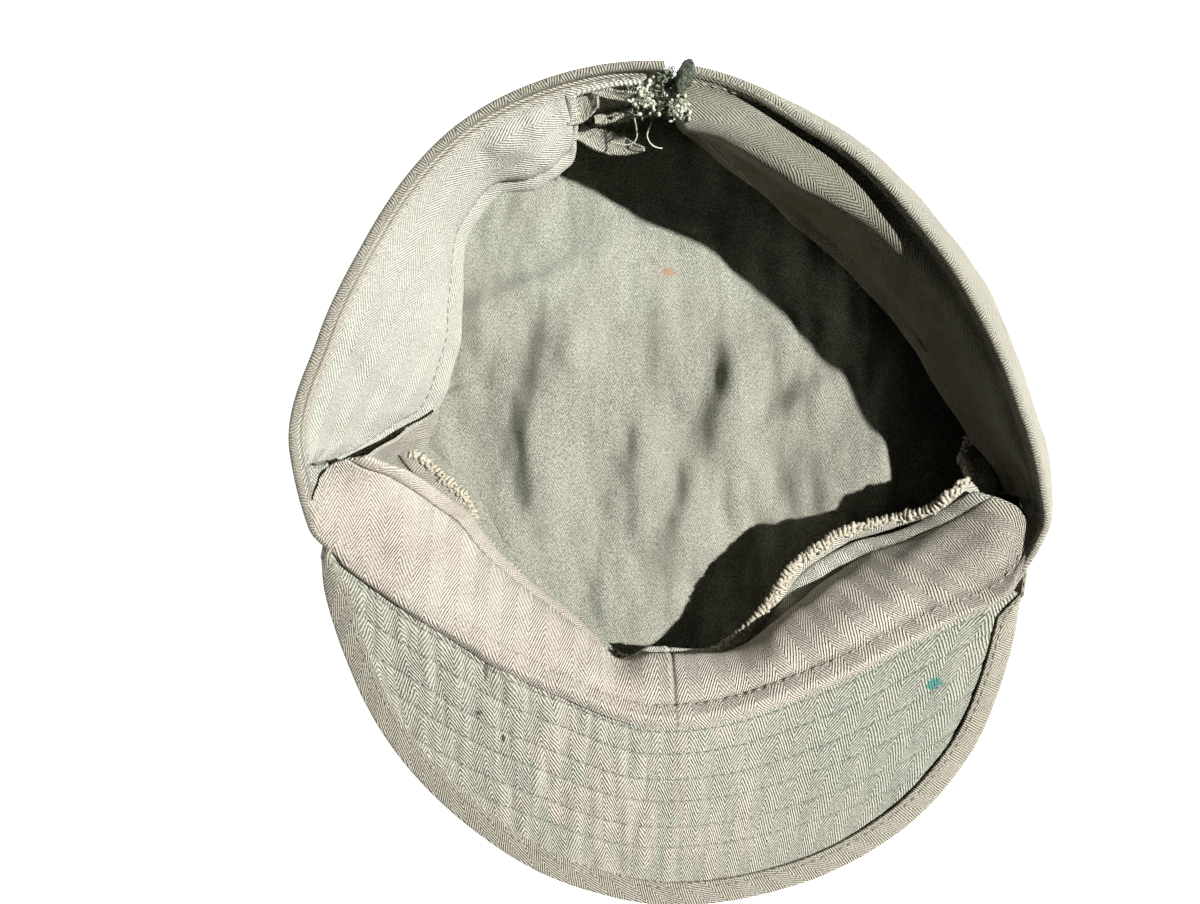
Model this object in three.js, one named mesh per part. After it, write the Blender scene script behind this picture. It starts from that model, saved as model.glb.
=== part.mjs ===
// A worn cloth field cap lying upside down on its crown, opening up, visor towards -Y.
// Millimetres, +Z up. The origin is on the floor under the middle of the head opening.
// Every piece is lofted round the Z axis through half planes: a section is drawn as radius and
// height at one angle, where 0 degrees is +X and 90 degrees is +Y, the back of the cap.
import * as THREE from 'three';

// Cloth and seam sizes.
const CLOTH = 1.3;
const SWEAT_CLOTH = 1.2;
const HEM = 2.6;
const FREE_HEM = 1.7;
const SEAM_GAP = 0.3;
const SWEAT_GAP = 0.65;
const OVERCAST_THICK = 1.8;
const VISOR_THICK = 2.6;
const BINDING_CLOTH = 1.1;
const BINDING_WIDTH = 6.5;
const SIDE_TURN = 4;

// The band and the sweatband are split at the back. The split is widest at the rim.
const SPLIT_AT = 88;
const SPLIT_HALF_RIM = 1.5;
const SPLIT_HALF_SEAM = 0.35;
const SPLIT_REACH = 14;
const SWEAT_START = 84.5;
const SWEAT_END = 92.5;

// Angular steps: finer where the visor's corners crease the ring.
const STEP = 5;
const FINE_STEP = 2.5;
const CREASED = [{ from: 177.5, to: 205 }, { from: 327.5, to: 355 }];

// The rim: its radius and height, and how much of the turned hem shows inside it.
const RIM = [
  { deg: 0, r: 93.5, z: 58, hem: 4.5 },
  { deg: 20, r: 85.5, z: 58, hem: 5 },
  { deg: 40, r: 82.5, z: 58, hem: 5 },
  { deg: 60, r: 82.5, z: 58, hem: 5 },
  { deg: 75, r: 85, z: 58, hem: 5 },
  { deg: 90, r: 87.5, z: 57, hem: 5 },
  { deg: 110, r: 89, z: 55, hem: 5 },
  { deg: 125, r: 90, z: 53, hem: 5 },
  { deg: 150, r: 89, z: 51, hem: 4.5 },
  { deg: 170, r: 92.5, z: 50, hem: 4 },
  { deg: 188, r: 99.5, z: 50, hem: 4 },
  { deg: 200, r: 99.5, z: 50, hem: 2 },
  { deg: 207, r: 94.5, z: 50, hem: 1.2 },
  { deg: 218, r: 87.5, z: 50, hem: 1.2 },
  { deg: 233, r: 82.5, z: 49, hem: 1.2 },
  { deg: 250, r: 82, z: 48, hem: 1.2 },
  { deg: 270, r: 86, z: 48, hem: 1.2 },
  { deg: 290, r: 86, z: 48, hem: 1.2 },
  { deg: 310, r: 89.5, z: 49, hem: 1.2 },
  { deg: 322, r: 95.5, z: 50, hem: 1.2 },
  { deg: 333, r: 106, z: 52, hem: 1.5 },
  { deg: 341, r: 107, z: 54, hem: 3 },
  { deg: 347, r: 103.5, z: 56, hem: 4 },
  { deg: 354, r: 98, z: 57, hem: 4.5 },
];

// The seam between the band and the crown, and how far the band swells out above it.
const SEAM = [
  { deg: 0, r: 101, z: 22, swell: 5 },
  { deg: 15, r: 97.5, z: 22, swell: 4.5 },
  { deg: 35, r: 91, z: 22, swell: 4 },
  { deg: 55, r: 90, z: 22, swell: 3.5 },
  { deg: 75, r: 89.5, z: 22, swell: 2.5 },
  { deg: 90, r: 88, z: 22, swell: 1.5 },
  { deg: 105, r: 86, z: 21, swell: 1.5 },
  { deg: 120, r: 83, z: 20, swell: 1.5 },
  { deg: 140, r: 80, z: 19, swell: 1.5 },
  { deg: 160, r: 69, z: 18, swell: 1.5 },
  { deg: 175, r: 68, z: 18, swell: 1.5 },
  { deg: 188, r: 79, z: 18, swell: 1.5 },
  { deg: 200, r: 73, z: 17, swell: 1.5 },
  { deg: 212, r: 68, z: 16, swell: 1 },
  { deg: 228, r: 68, z: 15, swell: 1 },
  { deg: 245, r: 71.5, z: 14, swell: 1 },
  { deg: 262, r: 79, z: 14, swell: 1 },
  { deg: 280, r: 81, z: 14, swell: 1 },
  { deg: 297, r: 75, z: 14, swell: 1 },
  { deg: 311, r: 68.5, z: 15, swell: 1 },
  { deg: 324, r: 71.5, z: 17, swell: 1 },
  { deg: 332, r: 80, z: 19, swell: 4 },
  { deg: 340, r: 97, z: 21, swell: 8 },
  { deg: 347, r: 105, z: 22, swell: 6 },
  { deg: 354, r: 104, z: 22, swell: 5.5 },
];

// The sweatband's free edge. It is notched at the visor's corners and torn short at the back.
const FREE_EDGE = [
  { deg: 5, r: 78, z: 26 },
  { deg: 17, r: 73, z: 25 },
  { deg: 31, r: 68, z: 25 },
  { deg: 51, r: 65, z: 25 },
  { deg: 70, r: 71, z: 25 },
  { deg: 84, r: 77.5, z: 26 },
  { deg: 92, r: 82, z: 46 },
  { deg: 105, r: 81, z: 44 },
  { deg: 110, r: 73, z: 30 },
  { deg: 119, r: 70, z: 30 },
  { deg: 127, r: 74, z: 30 },
  { deg: 138, r: 71.5, z: 29 },
  { deg: 150, r: 64, z: 28 },
  { deg: 165, r: 59, z: 27 },
  { deg: 180, r: 61, z: 29 },
  { deg: 186, r: 82, z: 36 },
  { deg: 190, r: 89, z: 42 },
  { deg: 196, r: 75, z: 30 },
  { deg: 204, r: 66, z: 27 },
  { deg: 212, r: 62.5, z: 25 },
  { deg: 228, r: 63, z: 23 },
  { deg: 245, r: 65, z: 21 },
  { deg: 255, r: 69.5, z: 20 },
  { deg: 262, r: 75, z: 20 },
  { deg: 269, r: 72, z: 20 },
  { deg: 287, r: 74.5, z: 22 },
  { deg: 297, r: 69, z: 27 },
  { deg: 311, r: 64.5, z: 31 },
  { deg: 324, r: 68.5, z: 33.5 },
  { deg: 333, r: 77.5, z: 35 },
  { deg: 343, r: 84.5, z: 38 },
  { deg: 348, r: 95.5, z: 44 },
  { deg: 355, r: 84, z: 28 },
];

// The overcast seam allowance: its width, and how steeply it stands up for each millimetre inwards.
const OVERCAST = [
  { deg: 0, width: 10, rise: 0.2 },
  { deg: 12, width: 6, rise: 0.25 },
  { deg: 40, width: 5, rise: 0.25 },
  { deg: 180, width: 5, rise: 0.25 },
  { deg: 190, width: 5.5, rise: 0.6 },
  { deg: 198, width: 8, rise: 0.9 },
  { deg: 207, width: 8, rise: 0.9 },
  { deg: 216, width: 5, rise: 0.4 },
  { deg: 278, width: 5, rise: 0.25 },
  { deg: 290, width: 8, rise: 0.9 },
  { deg: 299, width: 12.5, rise: 1.6 },
  { deg: 311, width: 15, rise: 1.9 },
  { deg: 324, width: 15, rise: 1.8 },
  { deg: 333, width: 13, rise: 1.2 },
  { deg: 342, width: 11, rise: 0.5 },
  { deg: 351, width: 12, rise: 0.2 },
];

// Folds along the sweatband: a dip beside the rim, a roll below it, and how far the middle puffs in.
const SWEAT_FOLDS = [
  { deg: 0, dip: 1.2, roll: 2, puff: 1 },
  { deg: 25, dip: 1.5, roll: 4, puff: 1 },
  { deg: 55, dip: 1.2, roll: 6.5, puff: 1 },
  { deg: 78, dip: 0.3, roll: 5, puff: 1 },
  { deg: 95, dip: 0, roll: 0, puff: 0 },
  { deg: 108, dip: 0, roll: 1, puff: 2 },
  { deg: 120, dip: 0, roll: 2, puff: 5 },
  { deg: 135, dip: 0, roll: 1, puff: 3 },
  { deg: 160, dip: 0, roll: 0, puff: 1.5 },
  { deg: 188, dip: 0, roll: 0, puff: 0 },
  { deg: 205, dip: 0, roll: 0, puff: 2 },
  { deg: 250, dip: 0, roll: 0, puff: 0.5 },
  { deg: 300, dip: 0, roll: 0, puff: 1 },
  { deg: 333, dip: 0, roll: 0.5, puff: 2 },
  { deg: 348, dip: 0, roll: 0, puff: 0 },
  { deg: 355, dip: 0.8, roll: 3, puff: 0.5 },
];

// The crown's side between the seam and its foot: where its middle swells out or rolls in.
const CROWN_SIDE = [
  { deg: 0, r: 104, z: 12, foot: 98 },
  { deg: 22, r: 99, z: 12, foot: 94 },
  { deg: 45, r: 94, z: 12, foot: 90 },
  { deg: 90, r: 91, z: 11, foot: 88 },
  { deg: 135, r: 85, z: 10, foot: 85 },
  { deg: 165, r: 75, z: 9, foot: 81 },
  { deg: 188, r: 70, z: 11, foot: 80 },
  { deg: 204, r: 60, z: 11, foot: 80 },
  { deg: 228, r: 61, z: 10, foot: 80 },
  { deg: 246, r: 67, z: 8.5, foot: 81 },
  { deg: 270, r: 77, z: 8, foot: 84 },
  { deg: 311, r: 70, z: 8.5, foot: 82 },
  { deg: 328, r: 80, z: 10, foot: 88 },
  { deg: 347, r: 107, z: 12, foot: 100 },
];

// Wrinkles that lift the crown's cloth off the floor, each a straight ridge between two points.
const WRINKLES = [
  { name: 'left', x0: -31, y0: 21, x1: -30, y1: -29, width: 9, height: 5 },
  { name: 'right_back', x0: 27, y0: 18, x1: 25, y1: -7, width: 9, height: 4.5 },
  { name: 'right_front', x0: 14, y0: -21, x1: 13, y1: -42, width: 9, height: 4.5 },
  { name: 'diagonal', x0: 31, y0: -9, x1: 57, y1: 11, width: 8, height: 4 },
  { name: 'back_left', x0: -55, y0: 26, x1: -26, y1: 37, width: 9, height: 4 },
  { name: 'back', x0: -6, y0: 58, x1: 22, y1: 44, width: 9, height: 3 },
  { name: 'front_left', x0: -42, y0: -36, x1: -22, y1: -52, width: 8, height: 3 },
];
// The slack crown also rises off the floor towards the right wall, and comes down to its own edge.
const CROWN_RISE = { from: 28, span: 52, height: 18, fall: 0.3 };
const CROWN_FLAT_EDGE = 0.95;
const CROWN_RINGS = 11;
const CROWN_SECTORS = 50;

// The visor's outer edge.
const VISOR_EDGE = [
  { deg: 202, r: 98.5, z: 49 },
  { deg: 210, r: 103, z: 48 },
  { deg: 219, r: 108.5, z: 46 },
  { deg: 231, r: 117.5, z: 42 },
  { deg: 246, r: 127.5, z: 38 },
  { deg: 260, r: 135.5, z: 36 },
  { deg: 274, r: 139.5, z: 35 },
  { deg: 286, r: 139, z: 35 },
  { deg: 298, r: 136, z: 37 },
  { deg: 310, r: 129.5, z: 39 },
  { deg: 320, r: 120, z: 43 },
  { deg: 326, r: 114, z: 46 },
  { deg: 333, r: 108, z: 49 },
];
const VISOR_FROM = 205;
const VISOR_TO = 331.5;
const VISOR_STEPS = 36;
const VISOR_CROWNING = 1.2;

// The pointed scrap of torn sweatband: where it hangs from, and its size.
const SCRAP = { deg: 107.5, along: 0.9, length: 20, rootWidth: 6, drop: 1.5, aim: -17 };

const RAD = Math.PI / 180;
const at = (r, z) => new THREE.Vector2(r, z);
const step = (from, direction, distance) => from.clone().addScaledVector(direction, distance);

// A smooth curve round the axis through one column of a table, with no overshoot at its steps.
function roundCurve(table, key, period = 360) {
  const count = table.length;
  const gap = (i) => (((table[(i + 1) % count].deg - table[i % count].deg) % period) + period) % period;
  const slope = (i) => (table[(i + 1) % count][key] - table[i % count][key]) / gap(i);
  const tangent = table.map((row, i) => {
    const before = slope((i + count - 1) % count);
    const after = slope(i);
    return before * after <= 0 ? 0 : (2 * before * after) / (before + after);
  });
  return (deg) => {
    const turned = (((deg - table[0].deg) % period) + period) % period;
    let i = 0;
    let start = 0;
    while (i < count - 1 && start + gap(i) < turned) {
      start += gap(i);
      i += 1;
    }
    const span = gap(i);
    const t = (turned - start) / span;
    const next = (i + 1) % count;
    const blend = t * t * (3 - 2 * t);
    return table[i][key] * (1 - blend) + table[next][key] * blend
      + span * (t * (1 - t) * (1 - t) * tangent[i] - t * t * (1 - t) * tangent[next]);
  };
}

const rimR = roundCurve(RIM, 'r');
const rimZ = roundCurve(RIM, 'z');
const rimHem = roundCurve(RIM, 'hem');
const seamR = roundCurve(SEAM, 'r');
const seamZ = roundCurve(SEAM, 'z');
const seamSwell = roundCurve(SEAM, 'swell');
const freeR = roundCurve(FREE_EDGE, 'r');
const freeZ = roundCurve(FREE_EDGE, 'z');
const overWidth = roundCurve(OVERCAST, 'width');
const overRise = roundCurve(OVERCAST, 'rise');
const foldDip = roundCurve(SWEAT_FOLDS, 'dip');
const foldRoll = roundCurve(SWEAT_FOLDS, 'roll');
const foldPuff = roundCurve(SWEAT_FOLDS, 'puff');
const sideR = roundCurve(CROWN_SIDE, 'r');
const sideZ = roundCurve(CROWN_SIDE, 'z');
const footR = roundCurve(CROWN_SIDE, 'foot');
const visorR = roundCurve(VISOR_EDGE, 'r');
const visorZ = roundCurve(VISOR_EDGE, 'z');

// The frame of the band at one angle: rim, seam, the way down the cloth, and the way into the cap.
function bandFrame(deg) {
  const rim = at(rimR(deg), rimZ(deg));
  const seam = at(seamR(deg), seamZ(deg));
  const length = rim.distanceTo(seam);
  const down = seam.clone().sub(rim).normalize();
  const inward = at(down.y, -down.x);
  return { rim, seam, length, down, inward };
}

// A point of the band: so far down its cloth from the rim, and so deep from its outer face.
function bandPoint(deg, along, depth) {
  const { rim, length, down, inward } = bandFrame(deg);
  const swell = seamSwell(deg) * Math.sin((Math.PI * along) / length);
  return step(step(rim, down, along), inward, depth - swell);
}

// Points along a smooth line through the given ones.
function smoothLine(points, count) {
  const curve = new THREE.SplineCurve(points);
  return curve.getPoints(count - 1);
}

// The two skins of a cloth wall whose middle line and half thicknesses are given.
function skins(middle, half) {
  const last = middle.length - 1;
  const outer = [];
  const inner = [];
  middle.forEach((point, i) => {
    const along = middle[Math.min(i + 1, last)].clone().sub(middle[Math.max(i - 1, 0)]).normalize();
    const inward = at(along.y, -along.x);
    const thick = Array.isArray(half) ? half[i] : half;
    outer.push(step(point, inward, -thick));
    inner.push(step(point, inward, thick));
  });
  return { outer, inner };
}

// A closed solid lofted round the axis between two skins. aim(deg, t) can turn a point at the
// share t of the section to another angle, which is how the torn ends open towards the rim.
function loft(degrees, section, { closed = false, aim = (deg) => deg } = {}) {
  const size = section(degrees[0]).outer.length;
  const positions = [];
  for (const deg of degrees) {
    const rows = Array.from({ length: size }, (_, i) => {
      const turned = aim(deg, i / (size - 1));
      const { outer, inner } = section(turned);
      return { turned, outer: outer[i], inner: inner[i] };
    });
    const loop = [...rows.map((row) => [row.turned, row.outer])];
    loop.push(...rows.reverse().map((row) => [row.turned, row.inner]));
    for (const [turned, point] of loop) {
      positions.push(point.x * Math.cos(turned * RAD), point.x * Math.sin(turned * RAD), point.y);
    }
  }
  const around = size * 2;
  const indices = [];
  const quad = (a, b, c, d) => indices.push(a, b, c, a, c, d);
  const spans = closed ? degrees.length : degrees.length - 1;
  for (let i = 0; i < spans; i += 1) {
    const here = i * around;
    const there = ((i + 1) % degrees.length) * around;
    for (let j = 0; j < around; j += 1) {
      const k = (j + 1) % around;
      quad(here + j, there + j, there + k, here + k);
    }
  }
  if (!closed) {
    const end = (degrees.length - 1) * around;
    for (let j = 0; j < size - 1; j += 1) {
      const opposite = around - 1 - j;
      quad(j, j + 1, opposite - 1, opposite);
      quad(end + j, end + opposite, end + opposite - 1, end + j + 1);
    }
  }
  return solid(positions, indices);
}

// A geometry from points and triangles, turned so that its faces point out.
function solid(positions, indices) {
  const corner = (i) => new THREE.Vector3().fromArray(positions, indices[i] * 3);
  let volume = 0;
  for (let i = 0; i < indices.length; i += 3) {
    volume += corner(i).dot(corner(i + 1).cross(corner(i + 2)));
  }
  const facing = volume > 0 ? indices : [...indices].reverse();
  const geometry = new THREE.BufferGeometry();
  geometry.setAttribute('position', new THREE.Float32BufferAttribute(positions, 3));
  geometry.setIndex(facing);
  geometry.computeVertexNormals();
  return geometry;
}

// Angles from one end to the other, finer in the creased stretches.
function degreesBetween(from, to) {
  const list = [from];
  for (let tick = Math.floor(from / FINE_STEP) * FINE_STEP; tick < to; tick += FINE_STEP) {
    const deg = tick % 360;
    const creased = CREASED.some((stretch) => deg >= stretch.from && deg <= stretch.to);
    const whole = Math.abs(deg / STEP - Math.round(deg / STEP)) < 1e-6;
    if ((creased || whole) && tick > from + 1 && tick < to - 1) {
      list.push(tick);
    }
  }
  list.push(to);
  return list;
}

const roundDegrees = degreesBetween(0, 360).slice(0, -1);

// The band: one cloth wall from the seam to the rim, doubled where its hem is turned in.
function bandSection(deg) {
  const { length } = bandFrame(deg);
  const hem = rimHem(deg);
  const rows = [
    { along: 0, outer: 0.7, inner: HEM - 0.7 },
    { along: 0.9, outer: 0, inner: HEM },
    { along: hem, outer: 0, inner: HEM },
    { along: hem + 1, outer: 0, inner: CLOTH },
    { along: length * 0.4, outer: 0, inner: CLOTH },
    { along: length * 0.7, outer: 0, inner: CLOTH },
    { along: length, outer: 0, inner: CLOTH },
  ];
  return {
    outer: rows.map((row) => bandPoint(deg, row.along, row.outer)),
    inner: rows.map((row) => bandPoint(deg, row.along, row.inner)),
  };
}

// The torn ends of the band draw apart at the rim and nearly meet at the seam.
function splitAim(deg, t) {
  const half = SPLIT_HALF_RIM + (SPLIT_HALF_SEAM - SPLIT_HALF_RIM) * t;
  const past = deg - SPLIT_AT;
  const before = SPLIT_AT + 360 - deg;
  return deg + half * (Math.max(0, 1 - past / SPLIT_REACH) - Math.max(0, 1 - before / SPLIT_REACH));
}

// The sweatband hangs from the hem to its free edge.
function sweatMiddle(deg) {
  const stand = HEM + SWEAT_GAP + SWEAT_CLOTH / 2;
  const sewn = rimHem(deg);
  const top = bandPoint(deg, Math.max(sewn - 2, 0), stand);
  const stitched = bandPoint(deg, sewn, stand);
  const edge = at(freeR(deg), freeZ(deg));
  const chord = edge.clone().sub(stitched);
  const reach = Math.min(chord.length() / 30, 1);
  const facing = at(chord.y, -chord.x).normalize();
  const share = (t, lift) => step(step(stitched, chord, t), facing, lift * reach);
  return smoothLine([
    top,
    stitched,
    share(0.09, -foldDip(deg)),
    share(0.24, foldRoll(deg)),
    share(0.62, foldPuff(deg)),
    edge,
  ], 8);
}

function sweatSection(deg) {
  const middle = sweatMiddle(deg);
  const half = middle.map((_, i) => (i < middle.length - 2 ? SWEAT_CLOTH : FREE_HEM) / 2);
  return skins(middle, half);
}

// The overcast seam allowance stands in from the seam under the sweatband's free edge.
function overcastSection(deg) {
  const { seam, down, inward } = bandFrame(deg);
  const reach = at(-1, overRise(deg)).normalize();
  const half = OVERCAST_THICK / 2;
  const clear = SEAM_GAP + half * Math.abs(reach.dot(inward));
  const stand = CLOTH + 2 * SEAM_GAP + half * Math.abs(reach.dot(down));
  const root = step(step(seam, down, clear), inward, stand);
  return skins([root, step(root, reach, overWidth(deg))], half);
}

// The crown's side runs from the seam over its swell or roll to its foot on the disc.
function sideSection(deg) {
  const { seam, down, inward } = bandFrame(deg);
  const swell = at(sideR(deg), sideZ(deg));
  const foot = at(footR(deg), CLOTH + SEAM_GAP);
  const top = step(step(seam, inward, CLOTH / 2), down, SEAM_GAP);
  const turn = step(top, down, SIDE_TURN);
  const wall = skins(smoothLine([top, turn, swell, foot], 6), CLOTH / 2);
  const last = wall.outer.length - 1;
  wall.outer[last] = step(foot, at(1, 0), CLOTH / 2);
  wall.inner[last] = step(foot, at(-1, 0), CLOTH / 2);
  return wall;
}

// How high the wrinkles lift the crown's cloth at one place.
function crownLift(x, y) {
  let lift = 0;
  for (const { x0, y0, x1, y1, width, height } of WRINKLES) {
    const from = new THREE.Vector3(x0, y0, 0);
    const ridge = new THREE.Line3(from, new THREE.Vector3(x1, y1, 0));
    const place = new THREE.Vector3(x, y, 0);
    const nearest = ridge.closestPointToPoint(place, true, new THREE.Vector3());
    const away = Math.min(nearest.distanceTo(place) / width, 1);
    lift = Math.max(lift, height * (1 - away * away) ** 2);
  }
  return lift;
}

// An even start and end between 0 and 1.
const ease = (t) => THREE.MathUtils.smoothstep(t, 0, 1);

// How high the crown's cloth stands at one place of the disc, whose edge is at share 1.
function crownHeight(x, y, share) {
  const rise = CROWN_RISE.height * ease((x - CROWN_RISE.from) / CROWN_RISE.span);
  return crownLift(x, y) + rise * ease((CROWN_FLAT_EDGE - share) / CROWN_RISE.fall);
}

// The crown's disc: flat on the floor between its wrinkles, and risen at the right.
function crownTop() {
  const positions = [];
  const indices = [];
  const rows = [];
  const addRow = (height) => {
    const centre = positions.length / 3;
    positions.push(0, 0, height + crownHeight(0, 0, 0));
    for (let ring = 1; ring <= CROWN_RINGS; ring += 1) {
      for (let sector = 0; sector < CROWN_SECTORS; sector += 1) {
        const deg = (sector * 360) / CROWN_SECTORS;
        const share = ring === CROWN_RINGS ? 1 : (CROWN_FLAT_EDGE * ring) / (CROWN_RINGS - 1);
        const r = (footR(deg) + CLOTH) * share;
        const x = r * Math.cos(deg * RAD);
        const y = r * Math.sin(deg * RAD);
        const edge = ring === CROWN_RINGS ? 0 : 1;
        positions.push(x, y, height + edge * crownHeight(x, y, share));
      }
    }
    rows.push(centre);
  };
  addRow(0);
  addRow(CLOTH);
  const cell = (start, ring, sector) => start + 1 + (ring - 1) * CROWN_SECTORS + (sector % CROWN_SECTORS);
  const [under, over] = rows;
  for (let sector = 0; sector < CROWN_SECTORS; sector += 1) {
    indices.push(over, cell(over, 1, sector), cell(over, 1, sector + 1));
    indices.push(under, cell(under, 1, sector + 1), cell(under, 1, sector));
    for (let ring = 1; ring < CROWN_RINGS; ring += 1) {
      const near = [cell(over, ring, sector), cell(over, ring, sector + 1)];
      const far = [cell(over, ring + 1, sector), cell(over, ring + 1, sector + 1)];
      indices.push(near[0], far[0], far[1], near[0], far[1], near[1]);
      const shift = under - over;
      indices.push(near[0] + shift, far[1] + shift, far[0] + shift);
      indices.push(near[0] + shift, near[1] + shift, far[1] + shift);
    }
    const rim = [cell(under, CROWN_RINGS, sector), cell(under, CROWN_RINGS, sector + 1)];
    const lip = [cell(over, CROWN_RINGS, sector), cell(over, CROWN_RINGS, sector + 1)];
    indices.push(rim[0], rim[1], lip[1], rim[0], lip[1], lip[0]);
  }
  return solid(positions, indices);
}

// The visor's middle line from the rim to its bound edge, slightly crowned.
function visorLine(deg) {
  const root = at(rimR(deg) + SEAM_GAP, rimZ(deg) - VISOR_THICK / 2 - 0.6);
  const edge = at(visorR(deg) - BINDING_CLOTH, visorZ(deg));
  const along = edge.clone().sub(root);
  const up = at(-along.y, along.x).normalize();
  return { root, edge, along, up, width: along.length() };
}

function visorSection(deg) {
  const { root, along, up, width } = visorLine(deg);
  const end = 1 - SEAM_GAP / width;
  const rows = [0, 0.2, 0.4, 0.6, 0.8, 1].map((share) => {
    const t = share * end;
    const crowning = VISOR_CROWNING * Math.sin(Math.PI * t);
    return step(step(root, along, t), up, crowning);
  });
  return {
    outer: rows.map((point) => step(point, up, -VISOR_THICK / 2)),
    inner: rows.map((point) => step(point, up, VISOR_THICK / 2)),
  };
}

// The binding: a strip folded round the visor's edge, a leg above it and a leg below.
function bindingSection(deg) {
  const { root, edge, along, up, width } = visorLine(deg);
  const out = along.clone().normalize();
  const leg = Math.min(BINDING_WIDTH, width * 0.6);
  const near = VISOR_THICK / 2 + SEAM_GAP;
  const far = near + BINDING_CLOTH;
  const lift = (back) => VISOR_CROWNING * Math.sin(Math.PI * (1 - back / width));
  const place = (back, height) => step(step(edge, out, -back), up, height + lift(back));
  const legs = [leg, leg * 0.5, 0];
  const inner = [...legs.map((back) => place(back, near)), ...legs.toReversed().map((back) => place(back, -near))];
  const skin = [leg, leg * 0.5, 0.4];
  const outer = [...skin.map((back) => place(back, far)), ...skin.toReversed().map((back) => place(back, -far))];
  inner.splice(3, 0, place(0, 0));
  outer.splice(3, 0, place(-BINDING_CLOTH, 0));
  return { outer, inner };
}

// The scrap: a tapering tongue that leaves the sweatband's inner face and curls down to its point.
function tornScrap() {
  const middle = sweatMiddle(SCRAP.deg);
  const index = Math.round(SCRAP.along * (middle.length - 1));
  const { inner } = sweatSection(SCRAP.deg);
  const along = middle[index + 1].clone().sub(middle[index]).normalize();
  const start = step(inner[index], at(along.y, -along.x), SEAM_GAP + SWEAT_CLOTH / 2);
  const angle = SCRAP.deg * RAD;
  const root = new THREE.Vector3(start.x * Math.cos(angle), start.x * Math.sin(angle), start.y);
  const side = new THREE.Vector3(along.x * Math.cos(angle), along.x * Math.sin(angle), along.y);
  const aim = new THREE.Vector3(Math.cos(SCRAP.aim * RAD), Math.sin(SCRAP.aim * RAD), 0);
  const positions = [];
  const indices = [];
  const rows = 7;
  for (let i = 0; i < rows; i += 1) {
    const t = i / (rows - 1);
    const width = SCRAP.rootWidth * (1 - t) + 0.8 * t;
    const middlePoint = root.clone().addScaledVector(aim, SCRAP.length * t);
    middlePoint.z -= SCRAP.drop * Math.sin(Math.PI * t) - 2 * t;
    const flat = side.clone().lerp(new THREE.Vector3(0.2, -1, -0.3).normalize(), t).normalize();
    const face = new THREE.Vector3().crossVectors(aim, flat).normalize();
    for (const [across, high] of [[-1, -1], [1, -1], [1, 1], [-1, 1]]) {
      const point = middlePoint.clone().addScaledVector(flat, (across * width) / 2);
      point.addScaledVector(face, (high * SWEAT_CLOTH) / 2);
      positions.push(point.x, point.y, point.z);
    }
  }
  for (let i = 0; i < rows - 1; i += 1) {
    for (let j = 0; j < 4; j += 1) {
      const a = i * 4 + j;
      const b = i * 4 + ((j + 1) % 4);
      indices.push(a, b, b + 4, a, b + 4, a + 4);
    }
  }
  const end = (rows - 1) * 4;
  indices.push(0, 3, 2, 0, 2, 1, end, end + 1, end + 2, end, end + 2, end + 3);
  return solid(positions, indices);
}

const visorDegrees = Array.from({ length: VISOR_STEPS + 1 }, (_, i) => (
  VISOR_FROM + ((VISOR_TO - VISOR_FROM) * i) / VISOR_STEPS
));
const bandDegrees = degreesBetween(SPLIT_AT, SPLIT_AT + 360);
const sweatDegrees = degreesBetween(SWEAT_END, SWEAT_START + 360);

const PIECES = [
  { name: 'crown_top', geometry: crownTop(), colour: '#a9a690' },
  { name: 'crown_side', geometry: loft(roundDegrees, sideSection, { closed: true }), colour: '#a5a28b' },
  {
    name: 'band',
    geometry: loft(bandDegrees, bandSection, { aim: splitAim }),
    colour: '#b5ad93',
  },
  { name: 'sweatband', geometry: loft(sweatDegrees, sweatSection), colour: '#c3bba3' },
  { name: 'overcast_seam', geometry: loft(roundDegrees, overcastSection, { closed: true }), colour: '#cbc6b2' },
  { name: 'visor', geometry: loft(visorDegrees, visorSection), colour: '#8f8f74' },
  { name: 'visor_binding', geometry: loft(visorDegrees, bindingSection), colour: '#b3a98c' },
  { name: 'torn_scrap', geometry: tornScrap(), colour: '#b9b8a2' },
];

const cap = new THREE.Group();
cap.name = 'field_cap';
for (const { name, geometry, colour } of PIECES) {
  const material = new THREE.MeshStandardMaterial({ color: colour, roughness: 0.92, metalness: 0 });
  const mesh = new THREE.Mesh(geometry, material);
  mesh.name = name;
  cap.add(mesh);
}

export default cap;
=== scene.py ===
import math
import random

import bpy
import numpy as np
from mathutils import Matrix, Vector, noise


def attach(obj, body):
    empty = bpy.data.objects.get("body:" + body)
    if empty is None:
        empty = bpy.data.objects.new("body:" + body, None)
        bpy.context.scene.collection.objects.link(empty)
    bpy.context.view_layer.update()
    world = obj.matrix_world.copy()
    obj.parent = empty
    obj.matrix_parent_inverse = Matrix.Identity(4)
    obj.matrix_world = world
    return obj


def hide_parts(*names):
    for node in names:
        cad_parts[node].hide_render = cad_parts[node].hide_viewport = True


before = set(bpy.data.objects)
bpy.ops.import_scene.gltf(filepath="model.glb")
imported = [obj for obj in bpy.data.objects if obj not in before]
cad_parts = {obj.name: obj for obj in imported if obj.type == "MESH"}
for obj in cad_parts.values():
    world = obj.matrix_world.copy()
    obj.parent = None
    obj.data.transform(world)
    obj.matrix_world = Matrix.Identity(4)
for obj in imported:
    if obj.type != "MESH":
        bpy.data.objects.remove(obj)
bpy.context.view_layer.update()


# The studio: a wide pale floor, one small key lamp at the right that throws the rim's shadow across
# the crown, and an even pale sky for fill. The camera looks straight down into the cap.
CAMERA_AT = (-0.016, -0.014, 0.358)
SENSOR_WIDTH = 36
LENS = 34.89


def deselect():
    bpy.ops.object.select_all(action="DESELECT")


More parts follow.
